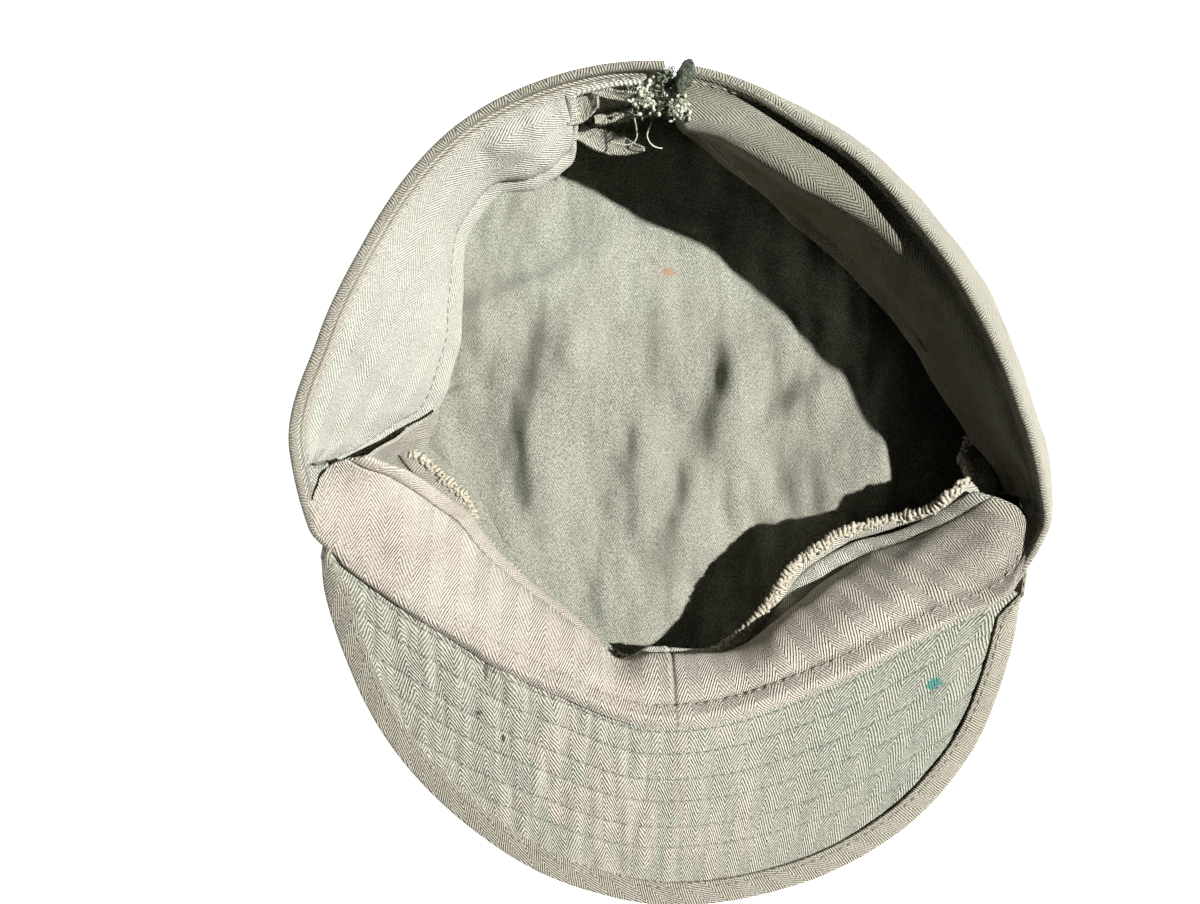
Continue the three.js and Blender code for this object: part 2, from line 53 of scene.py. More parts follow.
deselect()
bpy.ops.object.camera_add(location=CAMERA_AT, rotation=(0, 0, 0))
camera = bpy.context.object
camera.data.sensor_width = SENSOR_WIDTH
camera.data.lens = LENS
bpy.context.scene.camera = camera
bpy.context.scene.view_settings.view_transform = "Standard"

KEY_TURN = math.radians(4)
KEY_RISE = math.radians(52)
KEY_AWAY = 1.7
KEY_SIZE = 0.045
KEY_POWER = 63
SKY_STRENGTH = 0.022
key_from = Vector((math.cos(KEY_TURN) * math.cos(KEY_RISE),
                   math.sin(KEY_TURN) * math.cos(KEY_RISE),
                   math.sin(KEY_RISE)))
bpy.ops.object.light_add(type="AREA", location=key_from * KEY_AWAY)
key = bpy.context.object
key.rotation_euler = key_from.to_track_quat("Z", "Y").to_euler()
key.data.shape = "DISK"
key.data.size = KEY_SIZE
key.data.energy = KEY_POWER
key.data.color = (1.0, 0.98, 0.955)

sky = bpy.data.worlds.new("studio_sky")
bpy.context.scene.world = sky
sky.use_nodes = True
sky_inputs = sky.node_tree.nodes["Background"].inputs
sky_inputs["Color"].default_value = (0.93, 0.97, 1.0, 1)
sky_inputs["Strength"].default_value = SKY_STRENGTH

FLOOR_SIZE = 4
FLOOR_HEIGHT = -0.0004
bpy.ops.mesh.primitive_plane_add(size=FLOOR_SIZE, location=(0, 0, FLOOR_HEIGHT))
floor = bpy.context.object
floor.name = "studio_floor"
floor_paint = bpy.data.materials.new("pale_floor")
floor_paint.use_nodes = True
floor_inputs = floor_paint.node_tree.nodes["Principled BSDF"].inputs
floor_inputs["Base Color"].default_value = (0.93, 0.93, 0.92, 1)
floor_inputs["Roughness"].default_value = 0.9
floor_inputs["Emission Color"].default_value = (1, 1, 1, 1)
floor_inputs["Emission Strength"].default_value = 1.0
floor.data.materials.append(floor_paint)


# The crown top: a disc of herringbone twill that the cap lies on, slack and wrinkled from wear.
# It is cut from one piece, and its edge is turned into the seam with the crown's side.
MM = 0.001
CLOTH = 1.3
FOOT = (  # degrees, radius of the crown's foot
    (0, 98), (22, 94), (45, 90), (90, 88), (135, 85), (165, 81), (188, 80), (204, 80), (228, 80),
    (246, 81), (270, 84), (311, 82), (328, 88), (347, 100),
)
WRINKLES = (  # from x, y to x, y, spread on the shaded and on the lit side, height
    (-31, 26, -37, -35, 6, 11, 8.6),
    (-22, 34, -26, 10, 5, 8, 2.6),
    (28, 22, 19, -18, 6.4, 9, 8.2),
    (26, -12, 28, -36, 4.6, 8, 3.6),
    (14, -16, 8, -50, 5.6, 9, 6.2),
    (28, -12, 58, 13, 5, 9, 5),
    (24, 2, 52, 22, 5, 8, 1.6),
    (-62, 24, -20, 43, 5, 9, 5.6),
    (-44, 22, -49, -8, 5, 8, 1.8),
    (-8, 60, 24, 44, 4, 9, 1.8),
    (-46, -30, -30, -58, 4, 8, 2.8),
    (0, 28, 8, 0, 6, 9, 1.8),
    (-14, 14, -12, -20, 5, 9, 2.2),
    (42, -8, 46, -34, 4, 9, 2.2),
    (-63, -13, -37, -56, 2.6, 5, 3.4),
    (-67, 0, -52, 5, 1.7, 5, 2.6),
    (-2, -6, -4, -40, 4.2, 9, 3.0),
    (38, 30, 40, 4, 6, 9, 1.4),
)
RISE_FROM, RISE_SPAN, RISE_HIGH, RISE_FALL = 28, 52, 18, 0.3
FLAT_EDGE = 0.95
EDGE_PRESSED = 0.11
CROWN_GRID = 200
WANDER, WANDER_SIZE = 3.0, 17
HERRINGBONE = 3.9
TWILL_THREAD = 0.74


def even(share):
    """An even start and end between 0 and 1."""
    share = np.clip(share, 0, 1)
    return share * share * (3 - 2 * share)


def round_curve(degs, values):
    """A smooth curve round the cap through values at some degrees, with no overshoot."""
    gaps = np.diff(degs, append=degs[0] + 360)
    slopes = np.diff(values, append=values[0]) / gaps
    before = np.roll(slopes, 1)
    product = before * slopes
    tangents = np.where(product > 0, 2 * product / np.where(product > 0, before + slopes, 1), 0)

    def at(deg):
        turned = (np.asarray(deg, float) - degs[0]) % 360
        i = np.searchsorted(degs - degs[0], turned, side="right") - 1
        j = (i + 1) % len(degs)
        t = (turned - (degs[i] - degs[0])) / gaps[i]
        blend = t * t * (3 - 2 * t)
        bend = t * (1 - t) ** 2 * tangents[i] - t * t * (1 - t) * tangents[j]
        return values[i] * (1 - blend) + values[j] * blend + gaps[i] * bend
    return at


def round_curves(table):
    """One curve for each column of a table that follows its degrees."""
    degs, *columns = np.array(table, float).T
    return [round_curve(degs, values) for values in columns]


def rumple(points, size, seed):
    """Soft uneven noise between about -1 and 1 at points in millimetres, with bumps of one size."""
    shift = Vector((seed * 17.3, seed * 5.1, seed * 9.7))
    flat = points.reshape(-1, 3) / size
    values = [noise.noise(Vector(p) + shift) for p in flat.tolist()]
    return np.array(values).reshape(points.shape[:-1])


def bump(off, spread):
    """1 where off is nothing, fading away softly over its spread on both sides."""
    return np.exp(-(off / spread) ** 2)


def ridges(points, rows):
    """How high worn-in wrinkles stand at points seen from above: each runs between two places."""
    seen = points * np.array([1, 1, 0])
    x = points[..., 0] + WANDER * rumple(seen, WANDER_SIZE, 20)
    y = points[..., 1] + WANDER * rumple(seen, WANDER_SIZE, 21)
    height = np.zeros_like(x)
    for x0, y0, x1, y1, shaded, lit, high in rows:
        run = math.hypot(x1 - x0, y1 - y0)
        way_x, way_y = (x1 - x0) / run, (y1 - y0) / run
        share = ((x - x0) * way_x + (y - y0) * way_y) / run
        off = (y - y0) * way_x - (x - x0) * way_y
        off = off if way_y < 0 else -off
        crest = bump(off, np.where(off < 0, shaded, lit))
        height += high * crest * np.exp(-(np.abs(share - 0.5) / 0.5) ** 4)
    return height


def unit(vector):
    return vector / np.maximum(np.linalg.norm(vector, axis=-1, keepdims=True), 1e-9)


def facing(points):
    """The cloth's own normals at the crossings of a grid of points."""
    return unit(np.cross(np.gradient(points, axis=0), np.gradient(points, axis=1)))


def lay_cloth(name, points, flat, thick, finish=None, joined=False, **shares):
    """A grid of cloth whose crossings are moved to points; flat is where they lie in the cut cloth.
    Half its thickness lies to each side, and joined sews its first column to its last. Each share is
    a named value at every crossing that the cloth's finish can read."""
    columns, rows = points.shape[0] - 1, points.shape[1] - 1
    deselect()
    bpy.ops.mesh.primitive_grid_add(x_subdivisions=columns, y_subdivisions=rows, size=1)
    piece = bpy.context.object
    piece.name = name
    mesh = piece.data
    start = np.empty(len(mesh.vertices) * 3)
    mesh.vertices.foreach_get("co", start)
    start = start.reshape(-1, 3)
    column = np.rint((start[:, 0] + 0.5) * columns).astype(int)
    row = np.rint((start[:, 1] + 0.5) * rows).astype(int)
    mesh.vertices.foreach_set("co", (points[column, row] * MM).ravel())
    corners = np.empty(len(mesh.loops), np.int32)
    mesh.loops.foreach_get("vertex_index", corners)
    mesh.uv_layers[0].data.foreach_set("uv", flat[column, row][corners].ravel())
    for share_name, values in shares.items():
        layer = mesh.attributes.new(share_name, "FLOAT", "POINT")
        layer.data.foreach_set("value", values[column, row].astype(np.float32))
    mesh.update()
    if joined:
        bpy.ops.object.mode_set(mode="EDIT")
        bpy.ops.mesh.select_all(action="SELECT")
        bpy.ops.mesh.remove_doubles(threshold=0.00001)
        bpy.ops.object.mode_set(mode="OBJECT")
    cloth = piece.modifiers.new("cloth", "SOLIDIFY")
    cloth.thickness = thick * MM
    cloth.offset = 0
    bpy.ops.object.modifier_apply(modifier="cloth")
    bpy.ops.object.shade_smooth_by_angle(angle=math.radians(60))
    if finish:
        mesh.materials.append(finish)
    return piece


def ground_lengths(points):
    """How far each crossing lies along the columns and rows of a grid of points."""
    steps = np.linalg.norm(np.diff(points, axis=0), axis=-1)
    column = np.concatenate([np.zeros((1, points.shape[1])), np.cumsum(steps, axis=0)])
    steps = np.linalg.norm(np.diff(points, axis=1), axis=-1)
    row = np.concatenate([np.zeros((points.shape[0], 1)), np.cumsum(steps, axis=1)], axis=1)
    return column, row


def cut_flat(points, row):
    """Where each crossing lies in the cut cloth: how far along one row, and how far down from the top."""
    along, down = ground_lengths(points)
    return np.stack([np.broadcast_to(along[:, row:row + 1], down.shape), down], -1)


class Finish:
    """A node material under construction: each call adds one node and wires its inputs."""

    def __init__(self, name):
        self.material = bpy.data.materials.new(name)
        self.material.use_nodes = True
        self.tree = self.material.node_tree
        self.shader = self.tree.nodes["Principled BSDF"]

    def add(self, kind, inputs, **settings):
        node = self.tree.nodes.new(kind)
        for key_name, value in settings.items():
            setattr(node, key_name, value)
        for place, value in inputs.items():
            self.wire(node.inputs[place], value)
        return node

    def wire(self, socket, value):
        if isinstance(value, bpy.types.NodeSocket):
            self.tree.links.new(value, socket)
        else:
            socket.default_value = (*value, 1) if socket.type == "RGBA" else value

    def sum(self, operation, *values):
        return self.add("ShaderNodeMath", dict(enumerate(values)), operation=operation).outputs[0]

    def mix(self, share, under, over):
        return self.add("ShaderNodeMix", {0: share, 6: under, 7: over}, data_type="RGBA").outputs[2]

    def noise(self, place, scale, detail=2.0, rough=0.5):
        inputs = {"Vector": place, "Scale": scale, "Detail": detail, "Roughness": rough}
        return self.add("ShaderNodeTexNoise", inputs).outputs["Fac"]

    def ramp(self, value, low, high):
        inputs = {"Value": value, "From Min": low, "From Max": high}
        return self.add("ShaderNodeMapRange", inputs, interpolation_type="SMOOTHSTEP").outputs[0]

    def vector(self, operation, *values):
        return self.add("ShaderNodeVectorMath", dict(enumerate(values)), operation=operation).outputs

    def spot(self, place, centre, radius, ragged):
        """A ragged round spot at a place on the cap, 1 inside and 0 outside."""
        off = self.vector("SUBTRACT", place, [c * MM for c in centre])[0]
        scaled = self.vector("MULTIPLY", off, [1 / (r * MM) for r in radius] + [0])[0]
        away = self.vector("LENGTH", scaled)["Value"]
        wander = self.sum("MULTIPLY", self.sum("SUBTRACT", self.noise(place, 900.0, 3.0), 0.5), ragged)
        return self.ramp(self.sum("ADD", away, wander), 1.0, 0.5)

    def shade(self, colour, height, deep, **inputs):
        """Gives the shader its colour, a relief so deep at most, and its other inputs."""
        relief = self.add("ShaderNodeBump", {"Height": height, **deep})
        self.wire(self.shader.inputs["Base Color"], colour)
        self.wire(self.shader.inputs["Normal"], relief.outputs[0])
        for input_name, value in inputs.items():
            self.shader.inputs[input_name.replace("_", " ")].default_value = value
        return self.material


def twill(name, pale, deep, worn, turn=0.0, weave=0.42, grain=0.5, spots=(), zones=()):
    """Faded herringbone twill: stripes of slanting threads that turn back at every stripe.
    Weave is how clear the threads are, and grain how speckled the worn cloth is."""
    finish = Finish(name)
    cut = finish.add("ShaderNodeUVMap", {}).outputs[0]
    turned = finish.add("ShaderNodeMapping", {"Vector": cut, "Rotation": (0, 0, turn)}).outputs[0]
    place = finish.add("ShaderNodeTexCoord", {}).outputs["Object"]
    axes = finish.add("ShaderNodeSeparateXYZ", {0: turned})
    wander = finish.sum("MULTIPLY", finish.sum("SUBTRACT", finish.noise(turned, 0.09), 0.5), 1.6)
    across = finish.sum("ADD", axes.outputs[0], wander)
    zigzag = finish.sum("PINGPONG", across, HERRINGBONE)
    stripe = finish.sum("FLOOR", finish.sum("DIVIDE", across, HERRINGBONE))
    slant = finish.sum("MULTIPLY_ADD", axes.outputs[1], 0.55, zigzag)
    phase = finish.sum("MULTIPLY_ADD", stripe, 0.41, finish.sum("DIVIDE", slant, TWILL_THREAD))
    wave = finish.sum("SINE", finish.sum("MULTIPLY", phase, 6.2832))
    slub = finish.noise(turned, 1.3, 3.0, 0.7)
    thread = finish.sum("MULTIPLY_ADD", wave, weave, finish.sum("MULTIPLY_ADD", slub, 1.1, -0.05))
    speck = finish.noise(place, 2300.0, 3.0, 0.75)
    thread = finish.sum("MULTIPLY_ADD", finish.sum("SUBTRACT", speck, 0.5), grain * 2.4, thread)
    twine = finish.ramp(thread, 0.08, 0.92)
    for zone, zone_pale, zone_deep in zones:
        share = finish.add("ShaderNodeAttribute", {}, attribute_name=zone).outputs["Fac"]
        pale = finish.mix(share, pale, zone_pale)
        deep = finish.mix(share, deep, zone_deep)
    colour = finish.mix(twine, deep, pale)
    patch = finish.ramp(finish.noise(place, 34.0, 5.0, 0.62), 0.36, 0.68)
    colour = finish.mix(finish.sum("MULTIPLY", patch, 0.55), colour, finish.mix(0.45, colour, worn))
    grime = finish.ramp(finish.noise(place, 110.0, 4.0, 0.65), 0.52, 0.75)
    colour = finish.mix(finish.sum("MULTIPLY", grime, 0.16), colour, (0.16, 0.15, 0.1))
    for centre, radius, ragged, tint, strength in spots:
        mark = finish.spot(place, centre, radius, ragged)
        colour = finish.mix(finish.sum("MULTIPLY", mark, strength), colour, tint)
    height = finish.sum("MULTIPLY_ADD", finish.noise(place, 2600.0, 2.0), 0.5, thread)
    return finish.shade(colour, height, {"Strength": 1.0, "Distance": 0.00045},
                        Roughness=0.93, Specular_IOR_Level=0.18, Sheen_Weight=0.12)


foot_radius, = round_curves(FOOT)
span = np.linspace(-1, 1, CROWN_GRID + 1)
side_x, side_y = np.meshgrid(span, span, indexing="ij")
disc_x = side_x * np.sqrt(1 - side_y ** 2 / 2)
disc_y = side_y * np.sqrt(1 - side_x ** 2 / 2)
disc_deg = np.degrees(np.arctan2(disc_y, disc_x))
disc_r = np.hypot(disc_x, disc_y)
reach = foot_radius(disc_deg) + CLOTH
crown_x = disc_x * reach
crown_y = disc_y * reach
flat_points = np.stack([crown_x, crown_y, np.zeros_like(crown_x)], -1)
lift = ridges(flat_points, WRINKLES)
drawn = flat_points * np.array([1, 0.4, 1])
lift += 2.4 * (1 + rumple(drawn, 11, 1))
lift += 1.1 * rumple(drawn * 1.3, 6, 2)
lift += 0.3 * rumple(flat_points, 4, 22)
lift = np.maximum(lift * even((1 - disc_r) / EDGE_PRESSED), 0)
lift += RISE_HIGH * even((crown_x - RISE_FROM) / RISE_SPAN) * even((FLAT_EDGE - disc_r) / RISE_FALL)
crown_points = np.stack([crown_x, crown_y, lift + CLOTH / 2], -1)
bleached = even((crown_y - 8 + 12 * rumple(flat_points, 20, 30)) / 40)
RUST = (0.62, 0.28, 0.08)
crown_twill = twill("crown_twill", (0.69, 0.7, 0.59), (0.22, 0.23, 0.18), (0.63, 0.59, 0.48),
                    weave=0.2, grain=1.2,
                    zones=(("bleached", (0.79, 0.815, 0.69), (0.3, 0.32, 0.25)),),
                    spots=(((5, 41, 1), (2.4, 1.7), 1.6, RUST, 0.6),))
crown_top = lay_cloth("crown_top_cloth", crown_points, np.stack([crown_x, crown_y], -1), CLOTH - 0.1,
                      crown_twill, bleached=bleached)
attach(crown_top, "root")
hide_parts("crown_top")


# The crown's side: the low wall of the same twill between the band's seam and the crown top.
# It is slack, so it swells out at the right and rolls in under the rest of the cap.
SEAM_GAP = 0.3
SIDE_TURN = 4
SIDE_ROWS = 31
RIM = (  # degrees, radius, height, width of the turned hem
    (0, 92.8, 58, 2), (20, 84.6, 58, 2), (40, 81.2, 58, 2), (60, 81.4, 58, 1.6), (75, 84.6, 58, 0.8),
    (86, 86.8, 57.3, 0.8), (90, 87.5, 57, 5), (110, 89, 55, 4.5), (125, 90, 53, 3.8),
    (150, 89, 51, 3), (170, 92.5, 50, 2.7), (188, 99.5, 50, 2.7), (200, 99.5, 50, 2),
    (207, 94.5, 50, 1.2), (218, 87.5, 50, 1.2),
    (233, 82.5, 49, 1.2), (250, 82, 48, 1.2), (270, 86, 48, 1.2), (290, 86, 48, 1.2),
    (310, 89.5, 49, 1.2), (322, 95.5, 50, 1.2), (333, 106, 52, 1.5), (341, 107, 54, 3),
    (347, 102.6, 56, 3), (354, 97.2, 57, 2.2),
)
SEAM = (  # degrees, radius, height, swell of the band above it
    (0, 101, 22, 5), (15, 97.5, 22, 4.5), (35, 91, 22, 4), (55, 90, 22, 3.5), (75, 89.5, 22, 2.5),
    (90, 88, 22, 1.5), (105, 86, 21, 1.5), (120, 83, 20, 1.5), (140, 80, 19, 1.5), (160, 69, 18, 1.5),
    (175, 68, 18, 1.5), (188, 79, 18, 1.5), (200, 73, 17, 1.5), (212, 68, 16, 1), (228, 68, 15, 1),
    (245, 71.5, 14, 1), (262, 79, 14, 1), (280, 81, 14, 1), (297, 75, 14, 1), (311, 68.5, 15, 1),
    (324, 71.5, 17, 1), (332, 80, 19, 4), (340, 97, 21, 8), (347, 105, 22, 6), (354, 104, 22, 5.5),
)
CROWN_SIDE = (  # degrees, radius and height where the side swells or rolls in
    (0, 104, 12), (22, 99, 12), (45, 94, 12), (90, 91, 11), (135, 85, 10), (165, 75, 9), (188, 70, 11),
    (204, 60, 11), (228, 61, 10), (246, 67, 8.5), (270, 77, 8), (311, 70, 8.5), (328, 80, 10),
    (347, 107, 12),
)
rim_r, rim_z, rim_hem = round_curves(RIM)
seam_r, seam_z, seam_swell = round_curves(SEAM)
side_r, side_z = round_curves(CROWN_SIDE)


def band_frame(deg):
    """Rim, length, way down the cloth and way into the cap of the band at each angle."""
    rim = np.stack([rim_r(deg), rim_z(deg)], -1)
    seam = np.stack([seam_r(deg), seam_z(deg)], -1)
    down = unit(seam - rim)
    inward = np.stack([down[..., 1], -down[..., 0]], -1)
    return rim, np.linalg.norm(seam - rim, axis=-1), down, inward


def band_point(deg, along, depth):
    """Points so far down the band from its rim and so deep from its outer face, as radius and height."""
    rim, length, down, inward = band_frame(deg)
    along = np.broadcast_to(along, np.shape(deg))
    swell = seam_swell(deg) * np.sin(np.pi * along / length)
    return rim + down * along[..., None] + inward * (depth - swell)[..., None]


def smooth_line(knots, count):
    """Rows of points along a smooth line through the given rows of knots."""
    knots = [np.asarray(knot) for knot in knots]
    rows = []
    last = len(knots) - 1
    for place in np.linspace(0, last, count):
        i = min(int(place), last - 1)
        t = place - i
        a, b, c, d = knots[max(i - 1, 0)], knots[i], knots[i + 1], knots[min(i + 2, last)]
        rows.append(b + 0.5 * t * (c - a + t * (2 * a - 5 * b + 4 * c - d + t * (3 * (b - c) + d - a))))
    return rows


def turn_round(deg, rows):
    """Grid points from rows of radius and height at each angle."""
    profile = np.stack(rows, 1)
    turn = np.radians(np.broadcast_to(np.reshape(deg, (len(deg), -1)), profile.shape[:2]))
    return np.stack([profile[..., 0] * np.cos(turn), profile[..., 0] * np.sin(turn), profile[..., 1]], -1)


side_deg = np.linspace(88, 448, 481)
rim, length, down, inward = band_frame(side_deg)
seam = rim + down * length[:, None]
side_top = seam + inward * CLOTH / 2 + down * SEAM_GAP
side_knots = [
    side_top,
    side_top + down * SIDE_TURN,
    np.stack([side_r(side_deg), side_z(side_deg)], -1),
    np.stack([foot_radius(side_deg), np.full_like(side_deg, CLOTH + SEAM_GAP)], -1),
]
side_points = turn_round(side_deg, smooth_line(side_knots, SIDE_ROWS))
side_flat = cut_flat(side_points, 0)
slack = np.sin(np.pi * np.linspace(0, 1, SIDE_ROWS)) ** 2
slack_shift = 1.1 * rumple(side_points, 14, 3) * slack
side_points += facing(side_points) * slack_shift[..., None]
side_points[-1] = side_points[0]
crown_side = lay_cloth("crown_side_cloth", side_points, side_flat, CLOTH - 0.1, crown_twill, joined=True)
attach(crown_side, "root")
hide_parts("crown_side")


# The band: the outer wall of twill from the crown's seam up to the rim. Its top is turned in and
# stitched down as a hem, and at the back it is torn through from the rim to the seam.
HEM = 2.6
SPLIT_AT = 88
SPLIT_HALF_RIM = 1.5
SPLIT_HALF_SEAM = 0.35
SPLIT_REACH = 14
BAND_CLOTH = 1.2
BAND_ROWS = 33
TURN_AT = 1.1


def torn_aim(deg, share):
    """The torn ends of the band draw apart at the rim and nearly meet at the seam."""
    half = SPLIT_HALF_RIM + (SPLIT_HALF_SEAM - SPLIT_HALF_RIM) * share
    near = np.clip(1 - (deg - SPLIT_AT) / SPLIT_REACH, 0, None)
    far = np.clip(1 - (SPLIT_AT + 360 - deg) / SPLIT_REACH, 0, None)
    return deg + half * (near - far)


band_deg = np.linspace(SPLIT_AT, SPLIT_AT + 360, 701)
fold = (HEM - CLOTH) / 2
band_rows = []
band_aims = []
for share in np.linspace(1, 0, BAND_ROWS):
    aim = torn_aim(band_deg, share)
    along = TURN_AT + share * (band_frame(aim)[1] - TURN_AT)
    band_rows.append(band_point(aim, along, CLOTH / 2))
    band_aims.append(aim)
for bend in np.linspace(0, math.pi, 9)[1:-1]:
    aim = torn_aim(band_deg, 0)
    along = TURN_AT - fold * 1.5 * math.sin(bend)
    band_rows.append(band_point(aim, along, HEM / 2 - fold * math.cos(bend)))
    band_aims.append(aim)
for share in np.linspace(0, 1, 9):
    aim = torn_aim(band_deg, 0)
    band_rows.append(band_point(aim, TURN_AT + share * rim_hem(aim), HEM - CLOTH / 2))
    band_aims.append(aim)
band_points = turn_round(np.stack(band_aims, 1), band_rows)
band_flat = cut_flat(band_points, BAND_ROWS)
weight = np.sin(np.pi * np.clip(np.arange(len(band_rows)) / (BAND_ROWS - 1), 0, 1)) ** 2
band_shift = (0.8 * rumple(band_points, 22, 4) + 0.35 * rumple(band_points, 8, 5)) * weight
band_points += facing(band_points) * band_shift[..., None]
band_twill = twill("band_twill", (0.53, 0.51, 0.425), (0.22, 0.215, 0.165), (0.47, 0.445, 0.37))
band = lay_cloth("band_cloth", band_points, band_flat, BAND_CLOTH, band_twill)
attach(band, "root")
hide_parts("band")


# The overcast seam: the raw edges of band and crown, sewn together and wound over with thick pale
# thread. It stands in behind the sweatband, shows below its free edge, and has a loose flap of the
# same cloth in the left corner.
OVERCAST_THICK = 1.8
OVER_ROWS = 13
OVER_CURL = 1.8
OVERCAST = (  # degrees, width of the seam allowance, how steeply it stands up
    (0, 10, 0.2), (12, 4, 0.25), (40, 2, 0.25), (180, 1.8, 0.25), (187, 1.8, 0.25), (189.5, 2.2, 0.2),
    (190.5, 3.4, 0.2), (193, 6.2, 0.2), (198, 6.8, 0.2), (204, 7.2, 0.2), (209, 5, 0.25), (216, 2.5, 0.4),
    (276, 2, 0.25), (283, 9, 1.6), (290, 14.5, 2.2), (299, 16, 2.1), (311, 16.5, 2.2), (324, 16.5, 2.1),
    (333, 16.5, 1.8), (338, 22, 1.55), (343, 29, 1.4), (346.5, 22, 1.1), (351, 14, 0.2),
)
over_deg = np.linspace(88, 448, 721)
rim, length, down, inward = band_frame(over_deg)
over_width, over_rise = (curve(over_deg) for curve in round_curves(OVERCAST))
over_reach = unit(np.stack([np.full_like(over_deg, -1), over_rise], -1))
half = OVERCAST_THICK / 2
clear = SEAM_GAP + half * np.abs(np.sum(inward * over_reach, -1))
stand = CLOTH + 2 * SEAM_GAP + half * np.abs(np.sum(down * over_reach, -1))
over_root = rim + down * (length + clear)[:, None] + inward * stand[:, None]
over_tip = over_reach * over_width[:, None] * 0.95
over_rows = []
for share in np.linspace(0, 1, OVER_ROWS):
    over_rows.append(over_root + over_tip * np.array([share ** OVER_CURL, 1 - (1 - share) ** OVER_CURL]))
over_points = turn_round(over_deg, over_rows)
over_flat = cut_flat(over_points, 0)
over_points[..., 2] += 0.5 * rumple(over_points, 9, 6) * np.linspace(0, 1, OVER_ROWS)
over_points[-1] = over_points[0]
over_twill = twill("overcast_twill", (0.71, 0.68, 0.58), (0.42, 0.4, 0.33), (0.7, 0.67, 0.57))
overcast = lay_cloth("overcast_edge", over_points, over_flat, 1.1, over_twill, joined=True)
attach(overcast, "root")
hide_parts("overcast_seam")

FLAP_TOP = ((-79.3, -16.1, 48), (-74.0, -11.6, 40.5), (-67.8, -7.0, 35), (-61.0, -2.2, 32))
FLAP_FOOT = ((-77.0, -16.5, 37), (-73.0, -14.0, 25), (-69.5, -12.8, 21.5), (-66.0, -11.0, 20.5))
flap_top, flap_foot = (np.array(smooth_line(line, 33)) for line in (FLAP_TOP, FLAP_FOOT))
flap_share = np.linspace(0, 1, OVER_ROWS)[None, :, None]
flap_points = flap_top[:, None] * (1 - flap_share) + flap_foot[:, None] * flap_share
flap_points += 0.5 * rumple(flap_points, 5, 26)[..., None] * facing(flap_points)
flap_flat = np.stack(ground_lengths(flap_points), -1)
flap = lay_cloth("overcast_corner_flap", flap_points, flap_flat, 0.9, over_twill)
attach(flap, "root")


# The overcast thread: one loop of thick soft cotton over the seam's raw edge, modelled once and
# copied round the cap with a little unevenness, as an overlock machine lays it.
LOOP_ROUTE = ((-0.5, -1.5, 0.5), (-0.3, -0.7, 0.85), (-0.1, 0.3, 0.75), (0.1, 0.65, 0), (0.2, 0.3, -0.75),
              (0.3, -0.7, -0.8))
LOOP_THREAD = 1.1
LOOP_STEP = 1.35


def spin(name, routes, thick, sides=0):
    """Threads along routes of points in millimetres, drawn as round curves and made a mesh."""
    curve = bpy.data.curves.new(name, "CURVE")
    curve.dimensions = "3D"
    curve.bevel_depth = thick / 2 * MM
    curve.bevel_resolution = sides
    curve.use_fill_caps = True
    for route in routes:
        spline = curve.splines.new("POLY")
        spline.points.add(len(route) - 1)
        spots = np.concatenate([np.array(route) * MM, np.ones((len(route), 1))], 1)
        spline.points.foreach_set("co", spots.ravel())
    piece = bpy.data.objects.new(name, curve)
    bpy.context.collection.objects.link(piece)
    deselect()
    piece.select_set(True)
    bpy.context.view_layer.objects.active = piece
    bpy.ops.object.convert(target="MESH")
    bpy.ops.object.shade_smooth()
    return piece


def places_along(path, up, step, reach):
    """Evenly spaced places along a path of points, with the way on and the way up at each."""
    run = np.concatenate([[0], np.cumsum(np.linalg.norm(np.diff(path, axis=0), axis=1))])
    middles = np.arange(reach, run[-1] - reach, step)

    def at(distance, values):
        return np.stack([np.interp(distance, run, values[:, k]) for k in range(3)], -1)
    way = unit(at(middles + reach, path) - at(middles - reach, path))
    rise = at(middles, up)
    rise = unit(rise - way * np.sum(rise * way, -1, keepdims=True))
    return at(middles, path), way, rise


def repeat(piece, lines, uneven, seed, stray=0.0):
    """Copies a small piece, modelled along X with Z up, to every place of the given lines.
    Uneven changes their sizes, and stray moves and turns them by about so many millimetres."""
    one = np.array([vertex.co for vertex in piece.data.vertices]) / MM
    faces = [tuple(face.vertices) for face in piece.data.polygons]
    chance = np.random.default_rng(seed)
    points, corners = [], []
    for place, way, up in lines:
        out = np.cross(up, way)
        sizes = 1 + uneven * chance.uniform(-1, 1, (len(place), 3))
        moves = chance.normal(0, 1, (len(place), 3)) * stray
        swings = chance.normal(0, 1, len(place)) * stray
        for i in range(len(place)):
            start = len(points) * len(one)
            on = way[i] * math.cos(swings[i]) + out[i] * math.sin(swings[i])
            turned = one * sizes[i] @ np.stack([on, np.cross(up[i], on), up[i]])
            points.append((place[i] + moves[i] + turned) * MM)
            corners.extend([tuple(start + c for c in face) for face in faces])
    mesh = bpy.data.meshes.new(piece.name)
    mesh.from_pydata(np.concatenate(points).tolist(), [], corners)
    mesh.shade_smooth()
    piece.data = mesh


def sew(name, size, lines, uneven, seed, finish, stray=0.0):
    """Stitches: one short pad of thread, longest along X, copied to every place of the given lines."""
    deselect()
    bpy.ops.mesh.primitive_uv_sphere_add(segments=6, ring_count=4, radius=MM / 2)
    bpy.ops.transform.resize(value=size)
    bpy.ops.object.transform_apply(location=True, rotation=True, scale=True)
    piece = bpy.context.object
    piece.name = name
    repeat(piece, lines, uneven, seed, stray)
    piece.data.materials.append(finish)
    return piece


